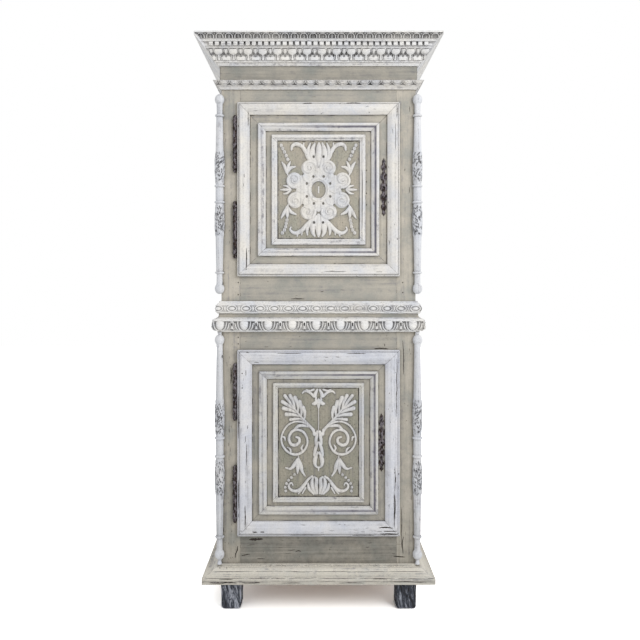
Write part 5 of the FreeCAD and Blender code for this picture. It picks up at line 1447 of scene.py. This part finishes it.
def roughFoot(node):
    facts = footFacts
    low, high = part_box(node)
    swelling = Vector((facts["swelling"], facts["swelling"], 0))
    low, high = low - swelling, high + swelling
    high.y = min(high.y, cadBounds[1][1])  # the rear feet stay clear of a wall behind the cabinet
    centre, half = (low + high) / 2, (high - low) / 2
    work = bmesh.new()
    bmesh.ops.create_cube(work, size=2)
    bmesh.ops.subdivide_edges(work, edges=work.edges, cuts=facts["cuts"], use_grid_fill=True)
    edge = facts["rounding"]
    for corner in work.verts:
        place = centre + corner.co * half
        inner = Vector((min(max(place.x, low.x + edge), high.x - edge),
                        min(max(place.y, low.y + edge), high.y - edge), max(place.z, low.z + edge)))
        away = place - inner
        if away.length > 0:
            place = inner + away.normalized() * min(edge, away.length)
        along = Vector(run / size for run, size in zip(place, facts["tearSizes"]))
        torn = noise.fractal(along, 0.8, 2.1, 3)
        shrink = 1 - facts["tear"] / half.x * min(max(0.5 + torn * 0.6, 0), 1)
        corner.co = centre + (place - centre) * shrink
        corner.co.z = place.z
    return work


for node in nodes:
    if node.startswith("foot_"):
        wood = materialFor(node, "dark_oak_feet")
        solidFrom(f"{node}_rough", roughFoot(node), wood, "cabinet", (node,))
print("feet roughened")


# The painted surfaces as a ray from the front meets them, for each body
def surfaceOf(names):
    points, faces = [], []
    for name in names:
        shape = nodes[name].data
        first = len(points)
        points += [corner.co[:] for corner in shape.vertices]
        faces += [[first + corner for corner in face.vertices] for face in shape.polygons]
    return BVHTree.FromPolygons(points, faces)


surfaces = {
    "cabinet": surfaceOf(name for name in nodes
                         if not any(word in name for word in ("door", "escutcheon", "lock"))),
    "upper_door": surfaceOf(name for name in nodes if name.startswith("upper_door")),
    "lower_door": surfaceOf(name for name in nodes if name.startswith("lower_door")),
}


def depthAt(body, across, up):
    met = surfaces[body].ray_cast(Vector((across, 3 * caseFront, up)), Vector((0, 1, 0)))[0]
    return met.y if met else caseFront


# Cracks, chips and rubbed-out spots, and the lines of painted shade added below:
# thin slivers of dark oak let into the paint.
# Each is a line of places (across, up) in metres and the sliver's greatest half width in millimetres.
sliverFacts = {
    "steps": 7,
    "proud": 0.35 * mm,
    "under": 1.2 * mm,
    "step": 4 * mm,          # no part of a sliver lies further from the rest than this
    "ragged": 0.55,
    "endShare": 0.12,
    "acrossShares": (1, 0.4, -0.4, -1),
    "seed": 12,
    "tone": "#2E2621",
    "roughness": 0.85,
}
slivers = {
    "cabinet": ("grey_paint", [
        ([(-0.250, 0.2505), (-0.226, 0.2515), (-0.200, 0.2525)], 5.8),
        ([(-0.277, 0.193), (-0.262, 0.196), (-0.246, 0.199)], 2.1),
        ([(-0.223, 0.1815), (-0.208, 0.182), (-0.192, 0.1815)], 1.4),
        ([(-0.2905, 0.229), (-0.2925, 0.214), (-0.2985, 0.198), (-0.3, 0.184)], 2.4),
        ([(-0.11, 0.213), (-0.098, 0.2125), (-0.084, 0.2145)], 1.3),
        ([(-0.083, 0.207), (-0.072, 0.2105), (-0.062, 0.208)], 1.9),
        ([(0.269, 0.191), (0.29, 0.1895), (0.312, 0.188)], 2.4),
        ([(-0.1, 1.117), (-0.075, 1.1175), (-0.05, 1.117)], 2.1),
        # over the lower door and down the right post
        ([(0.2, 0.9375), (0.226, 0.9395), (0.252, 0.9368)], 2.4),
        ([(0.236, 0.9565), (0.2385, 0.9505), (0.2375, 0.9465)], 1.6),
        ([(0.3025, 0.968), (0.3045, 0.94), (0.3065, 0.905), (0.3055, 0.87), (0.3062, 0.845)], 1.6),
        ([(0.2975, 0.37), (0.2995, 0.31), (0.298, 0.262), (0.2988, 0.22)], 1.4),
        ([(0.306, 0.262), (0.3015, 0.238), (0.3045, 0.2)], 1.9),
        ([(-0.3165, 0.872), (-0.3155, 0.845), (-0.3168, 0.81)], 1.3),
        ([(-0.312, 0.87), (-0.313, 0.84), (-0.312, 0.815)], 1.4),
        # along the foot of the base
        ([(-0.383, 0.1235), (-0.352, 0.1225), (-0.315, 0.124), (-0.286, 0.1228)], 2.7),
        ([(-0.271, 0.1238), (-0.24, 0.1228), (-0.205, 0.124)], 2.2),
        ([(-0.35, 0.1345), (-0.326, 0.1355), (-0.3, 0.1345)], 1.4),
        ([(0.262, 0.1262), (0.302, 0.1275), (0.352, 0.126), (0.384, 0.1272)], 1.9),
        ([(-0.13, 0.1225), (-0.09, 0.1232), (-0.06, 0.1225)], 1.3),
        ([(0.07, 0.1225), (0.12, 0.1235), (0.16, 0.1226)], 1.4),
        ([(0.19, 0.1365), (0.215, 0.1372), (0.24, 0.1365)], 1.1),
    ]),
    "upper_door": ("white_paint", [
        ([(-0.058, 1.8155), (-0.04, 1.8165), (-0.024, 1.8175)], 3.0),
        ([(0.098, 1.8175), (0.125, 1.8185), (0.152, 1.8175)], 1.8),
        ([(-0.258, 1.3), (-0.2575, 1.255), (-0.2585, 1.22)], 1.9),
        ([(-0.2515, 1.79), (-0.252, 1.76), (-0.2515, 1.735)], 1.4),
        ([(0.02, 1.2155), (0.06, 1.215), (0.1, 1.2155)], 1.1),
        ([(0.2795, 1.812), (0.2805, 1.79), (0.2792, 1.764)], 1.8),
        ([(0.2745, 1.745), (0.2752, 1.7), (0.2745, 1.65)], 0.8),
        ([(0.157, 1.583), (0.1575, 1.52), (0.157, 1.45), (0.1573, 1.37)], 1.3),
    ]),
    "lower_door": ("white_paint", [
        ([(-0.262, 0.3), (-0.2615, 0.34), (-0.2625, 0.38)], 2.4),
        ([(-0.236, 0.2865), (-0.228, 0.2855), (-0.219, 0.2865)], 2.1),
        ([(-0.208, 0.2855), (-0.2, 0.286), (-0.193, 0.2855)], 1.9),
        ([(-0.257, 0.52), (-0.2565, 0.56), (-0.2575, 0.6)], 1.4),
        ([(0.27, 0.3), (0.2705, 0.36), (0.2695, 0.43)], 2.1),
        ([(0.1, 0.9225), (0.14, 0.923), (0.17, 0.9225)], 1.4),
        ([(-0.15, 0.9235), (-0.1, 0.9225), (-0.06, 0.9235)], 1.3),
        # the long crack down the lock side, and the broken paint at its foot
        ([(0.2785, 0.905), (0.2802, 0.87), (0.2782, 0.83), (0.2798, 0.8), (0.2772, 0.76), (0.2785, 0.73),
          (0.2768, 0.695)], 1.7),
        ([(0.2725, 0.52), (0.2735, 0.47), (0.2715, 0.43)], 1.3),
        ([(0.272, 0.42), (0.2745, 0.38), (0.272, 0.335)], 1.4),
        ([(0.214, 0.3), (0.238, 0.3015), (0.266, 0.2992)], 2.7),
        ([(0.232, 0.2885), (0.256, 0.288), (0.283, 0.2893)], 2.1),
        ([(0.219, 0.278), (0.25, 0.2788), (0.286, 0.2772)], 3.2),
        ([(0.12, 0.2715), (0.16, 0.2722), (0.2, 0.2714)], 1.6),
        ([(-0.286, 0.36), (-0.2868, 0.42), (-0.286, 0.47)], 1.3),
        ([(-0.2868, 0.62), (-0.2875, 0.7), (-0.2868, 0.78)], 1.4),
        ([(-0.1, 0.2718), (-0.05, 0.2724), (0.01, 0.2716)], 1.3),
    ]),
}


# Dark lines along the base, painted shade in the creases of its profile and at its joint with the rail,
# in broken runs: height, reach (metres), half width (millimetres)
baseLines = [(0.1502, 0.376, 0.6), (0.1388, 0.405, 0.7), (0.1272, 0.405, 0.6), (0.1632, 0.354, 0.5)]
baseLineFacts = {"shortest": 0.05, "longest": 0.17, "gap": 0.012, "waver": 0.0006, "seed": 5}


def brokenLines():
    facts = baseLineFacts
    random = np.random.default_rng(facts["seed"])
    pieces = []
    for up, reach, half in baseLines:
        start = -reach
        while start < reach:
            end = min(start + facts["shortest"] + random.random() * (facts["longest"] - facts["shortest"]),
                      reach)
            places = [(start + (end - start) * share, up + facts["waver"] * random.normal())
                      for share in (0, 0.3, 0.7, 1)]
            pieces.append((places, half))
            start = end + facts["gap"] * random.random()
    return pieces


slivers["cabinet"][1].extend(brokenLines())

# Dark lines where the doors' mouldings meet the flats, broken paint with painted shade in the creases:
# edge, half width in millimetres, share drawn
edgeLines = [("outer", -1, 0.9, 0.5), ("inner", 1, 0.7, 0.35), ("inner", -1, 0.9, 0.6),
               ("tablet", 1, 0.6, 0.3), ("tablet", -1, 1.4, 0.7)]
edgeLineFacts = {"shortest": 0.006, "longest": 0.07, "waver": 0.0005, "lift": 0.0011, "seed": 31,
                   "besideShare": 1.3, "halfShares": (0.4, 0.9)}


def frameEdgeLines(tier):
    facts = edgeLineFacts
    random = np.random.default_rng(facts["seed"] + len(slivers[f"{tier}_door"][1]))
    pieces = []
    for kind, outward, half, share in edgeLines:
        node = f"{tier}_door_{kind}_moulding"
        low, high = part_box(node)
        centre, wide, tall = (low.z + high.z) / 2, (high.x - low.x) / 2, (high.z - low.z) / 2
        if outward < 0:  # the inner edges, one moulding's width in
            width = wide - min(abs(corner.co.x) for corner in nodes[node].data.vertices)
            wide, tall = wide - width, tall - width
        lift = facts["lift"] if (kind, outward) == ("tablet", -1) else 0
        for way in (-1, 1):
            for reach, level, upright in ((wide, tall, False), (tall, wide, True)):
                start = -reach
                while start < reach - facts["shortest"]:
                    end = min(start + facts["shortest"] + random.random() ** 2 * facts["longest"], reach)
                    if random.random() < share:
                        aside = [half * facts["besideShare"] * mm + facts["waver"] * abs(random.normal())
                                 for count in range(3)]
                        aside = [way * (level + outward * off) for off in aside]
                        runs = [(start, aside[0]), ((start + end) / 2, aside[1]), (end, aside[2])]
                        places = [(off, centre + run) if upright else (run, centre + off)
                                  for run, off in runs]
                        least, spread = facts["halfShares"]
                        pieces.append((places, half * (least + spread * random.random()), lift))
                    start = end
    return pieces


for tier in tiers:
    slivers[f"{tier}_door"][1].extend(frameEdgeLines(tier))

# Small checks along the grain: where across, where up, whether the grain is upright, how many
scattered = {
    "cabinet": [((-0.345, -0.305), (0.17, 0.98), True, 30), ((0.305, 0.345), (0.17, 0.98), True, 14),
                ((-0.345, -0.305), (1.12, 1.86), True, 9), ((0.305, 0.34), (1.12, 1.86), True, 4),
                ((-0.29, 0.29), (0.172, 0.26), False, 20), ((-0.29, 0.29), (0.942, 0.992), False, 10),
                ((-0.29, 0.29), (1.115, 1.19), False, 5), ((-0.33, 0.33), (1.84, 1.862), False, 4)],
    "upper_door": [((-0.285, 0.285), (1.2, 1.24), False, 9), ((-0.285, 0.285), (1.78, 1.818), False, 8),
                   ((0.25, 0.288), (1.24, 1.78), True, 8), ((-0.288, -0.25), (1.24, 1.78), True, 5)],
    "lower_door": [((-0.285, 0.285), (0.272, 0.315), False, 20),
                   ((-0.285, 0.285), (0.885, 0.93), False, 12),
                   ((0.245, 0.288), (0.3, 0.9), True, 18), ((-0.288, -0.245), (0.3, 0.9), True, 12)],
}
scatterFacts = {"shortest": 0.003, "longest": 0.022, "waver": 0.0008, "thin": 0.35, "thick": 1.3,
                "seed": 17}


def smallChecks(places):
    facts = scatterFacts
    random = np.random.default_rng(facts["seed"])
    pieces = []
    for across, up, upright, count in places:
        for check in range(count):
            start = np.array([low + random.random() * (high - low) for low, high in (across, up)])
            run = facts["shortest"] + random.random() ** 2 * (facts["longest"] - facts["shortest"])
            step = np.array((run, facts["waver"] * random.normal()))
            step = step[::-1] if upright else step
            middle = start + step / 2 + facts["waver"] * random.normal(size=2) / 2
            half = facts["thin"] + random.random() ** 2 * (facts["thick"] - facts["thin"])
            pieces.append(([tuple(place) for place in (start, middle, start + step)], half))
    return pieces


for body, places in scattered.items():
    slivers[body][1].extend(smallChecks(places))


def sliverWork(body, table):
    facts = sliverFacts
    random = np.random.default_rng(facts["seed"])
    work = bmesh.new()
    for places, half, *lift in table:
        line = smoothLine([(*place, 0, 0) for place in places], facts["steps"])[:, :2]
        run = np.gradient(line, axis=0)
        side = np.stack([-run[:, 1], run[:, 0]], axis=1) / np.hypot(run[:, 0], run[:, 1])[:, None]
        swell = np.sin(np.linspace(0, math.pi, len(line))) ** 0.5 * (1 - facts["endShare"])
        swell = (swell + facts["endShare"]) * half * mm
        near, far = [], []
        for share in facts["acrossShares"]:
            ragged = 1 - facts["ragged"] * random.random(len(line)) * abs(share)
            edge = line + side * (share * swell * ragged)[:, None]
            depth = np.array([depthAt(body, *place) for place in edge])
            usual = np.median(depth)
            depth = np.clip(depth, usual - facts["step"], usual + facts["step"]) - sum(lift)
            for ring, out in ((near, -facts["proud"]), (far, facts["under"])):
                ring.append([work.verts.new((place[0], deep + out, place[1]))
                             for place, deep in zip(edge, depth)])
        around = near + far[::-1]
        for first, second in zip(around, around[1:] + around[:1]):
            for place in range(len(line) - 1):
                work.faces.new((first[place], first[place + 1], second[place + 1], second[place]))
        for place in (0, -1):
            work.faces.new([ring[place] for ring in around])
    bmesh.ops.recalc_face_normals(work, faces=work.faces)
    return work


bareOakAndShade, darkOakTree = newMaterial("bare_dark_oak_and_shade")  # old oak under the paint: nearly black, dry; also the lines of painted shade
darkOakCoat = addNode(darkOakTree, "BsdfPrincipled",
                   {"Base Color": linear(sliverFacts["tone"]), "Roughness": sliverFacts["roughness"]})
addNode(darkOakTree, "OutputMaterial", {0: darkOakCoat})
for body, (slot, table) in slivers.items():
    solidFrom(f"{body}_paint_cracks", sliverWork(body, table), bareOakAndShade, body)

# Peg ends, nail heads and worm holes, laid out in rows
pegFacts = {"radius": 2.3 * mm, "proud": 0.5 * mm, "sides": 12, "rings": 6}
pegRows = {  # first place (across, up), step, how many
    "cabinet": [
        ((-0.289, 1.132), (0, 0, 0.044), 2),
        ((-0.289, 0.955), (0, 0, 0.024), 2),
        ((0.303, 1.14), (0, 0, 0.036), 2),
        ((-0.352, 0.1575), (0.024, 0, 0), 2),
    ],
    "upper_door": [((0.1725, 1.456), (0, 0, 0.0415), 4)],
    "lower_door": [((-0.2725, 0.8), (0, 0, 0.052), 2)],
}
peg = bmesh.new()
bmesh.ops.create_uvsphere(peg, u_segments=pegFacts["sides"], v_segments=pegFacts["rings"],
                          radius=pegFacts["radius"])
bmesh.ops.scale(peg, verts=peg.verts, vec=(1, pegFacts["proud"] / pegFacts["radius"], 1))
pegMesh = bpy.data.meshes.new("peg")
peg.to_mesh(pegMesh)
peg.free()
pegMotif = bpy.data.objects.new("peg", pegMesh)
for body, rows in pegRows.items():
    pegs = bmesh.new()
    for (across, up), step, count in rows:
        start = (across, depthAt(body, across, up), up)
        row = laidOut({"Motif": pegMotif, "Count": count, "Start": start, "Step": step, "Turn": (0, 0, 0),
                       "Finish": bareOakAndShade})
        pegs.from_mesh(row)
        bpy.data.meshes.remove(row)
    solidFrom(f"{body}_pegs", pegs, bareOakAndShade, body)
bpy.data.objects.remove(pegMotif)
bpy.data.meshes.remove(pegMesh)
print("cracks and pegs laid")

# Fretted iron round each keyhole: forged scrolls, pierced and half painted over
fretFacts = {
    "half": 6.6 * mm,
    "grid": 0.75 * mm,
    "proud": 1.5 * mm,
    "relief": 0.9 * mm,
    "under": 0.3 * mm,
    "scrolls": 10,
    "bars": 46,
    "clear": 6 * mm,
    "kept": 0.5,                    # metal is left where two opposite corners rise above this
    "seeds": {"upper": 143, "lower": 134},
    # shares of the plate's half width: each scroll's centre, radius, turns, half width, rise and inward run
    "keyholeShares": (0.42, 0.8),
    "scrollShares": (0.5, 0.62, 1.1, 0.17, 0.9, 0.7),
    "stemShares": [(0, -0.8, 0.2, 0.8), (0, 0.8, 0.16, 0.8)],
    "barShares": [(1, 0, 0.16, 0.7), (0.4, 0.9, 0.12, 0.8)],
}


def fretWork(body, low, high, seed):
    facts = fretFacts
    middle = (low + high) / 2
    tall = (high.z - low.z) / 2 / facts["half"]
    columns = int(2 * facts["half"] / facts["grid"])
    field = newField(-1, 1, -tall, tall, columns, int(columns * tall))
    random = np.random.default_rng(seed)
    for count in range(facts["scrolls"]):
        up = tall * (2 * (count + 0.5) / facts["scrolls"] - 1)
        out, radius, turns, *rest = facts["scrollShares"]
        way = -1 if count % 2 else 1
        strokes(field, [volute((out, up), radius, 330 if count % 2 else 180, turns, way, *rest)])
        stroke(field, [(across, up + rise, *rest) for across, rise, *rest in facts["stemShares"]])
    for count in range(facts["bars"]):
        across, up = random.random() * 0.9, (2 * random.random() - 1) * (tall - 1)
        rises = (0, random.random())
        strokes(field, [[(across * inward, up + further * rise, *rest)
                         for (inward, further, *rest), rise in zip(facts["barShares"], rises)]])
    dome(field, (0, 0), facts["keyholeShares"], 0, floor=0)
    field["rise"][(0, -1), :] = 0
    field["rise"][:, (0, -1)] = 0
    kept = field["rise"][:-1, :-1] + field["rise"][1:, 1:] > facts["kept"]
    kept[(0, -1), :] = False
    filling = True
    while filling:  # no two cells may touch by a corner alone
        slope = kept[:-1, :-1] & kept[1:, 1:] & ~kept[1:, :-1] & ~kept[:-1, 1:]
        other = kept[1:, :-1] & kept[:-1, 1:] & ~kept[:-1, :-1] & ~kept[1:, 1:]
        kept[1:, :-1] |= slope
        kept[:-1, :-1] |= other
        filling = bool((slope | other).any())
    face = depthAt(body, middle.x + facts["half"] * 0.9, low.z - facts["clear"])
    work = bmesh.new()
    corners = {}
    for row, column in np.argwhere(kept):
        ring = []
        for up, across in ((row, column), (row, column + 1), (row + 1, column + 1), (row + 1, column)):
            if (up, across) not in corners:
                deep = face - facts["proud"] - field["rise"][up, across] * facts["relief"]
                aside = middle.x + field["across"][across] * facts["half"]
                height = middle.z + field["up"][up] * facts["half"]
                corners[up, across] = work.verts.new((aside, deep, height))
            ring.append(corners[up, across])
        work.faces.new(ring)
    back = bmesh.ops.extrude_face_region(work, geom=work.faces[:], use_keep_orig=True)["geom"]
    for item in back:
        if isinstance(item, bmesh.types.BMVert):
            item.co.y = face + facts["under"]
    bmesh.ops.recalc_face_normals(work, faces=work.faces)
    return work


for tier in tiers:
    low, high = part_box(f"{tier}_escutcheon")
    work = fretWork(f"{tier}_door", low, high, fretFacts["seeds"][tier])
    solidFrom(f"{tier}_keyhole_fret", work, paintedIron, f"{tier}_door")
print("keyholes fretted")
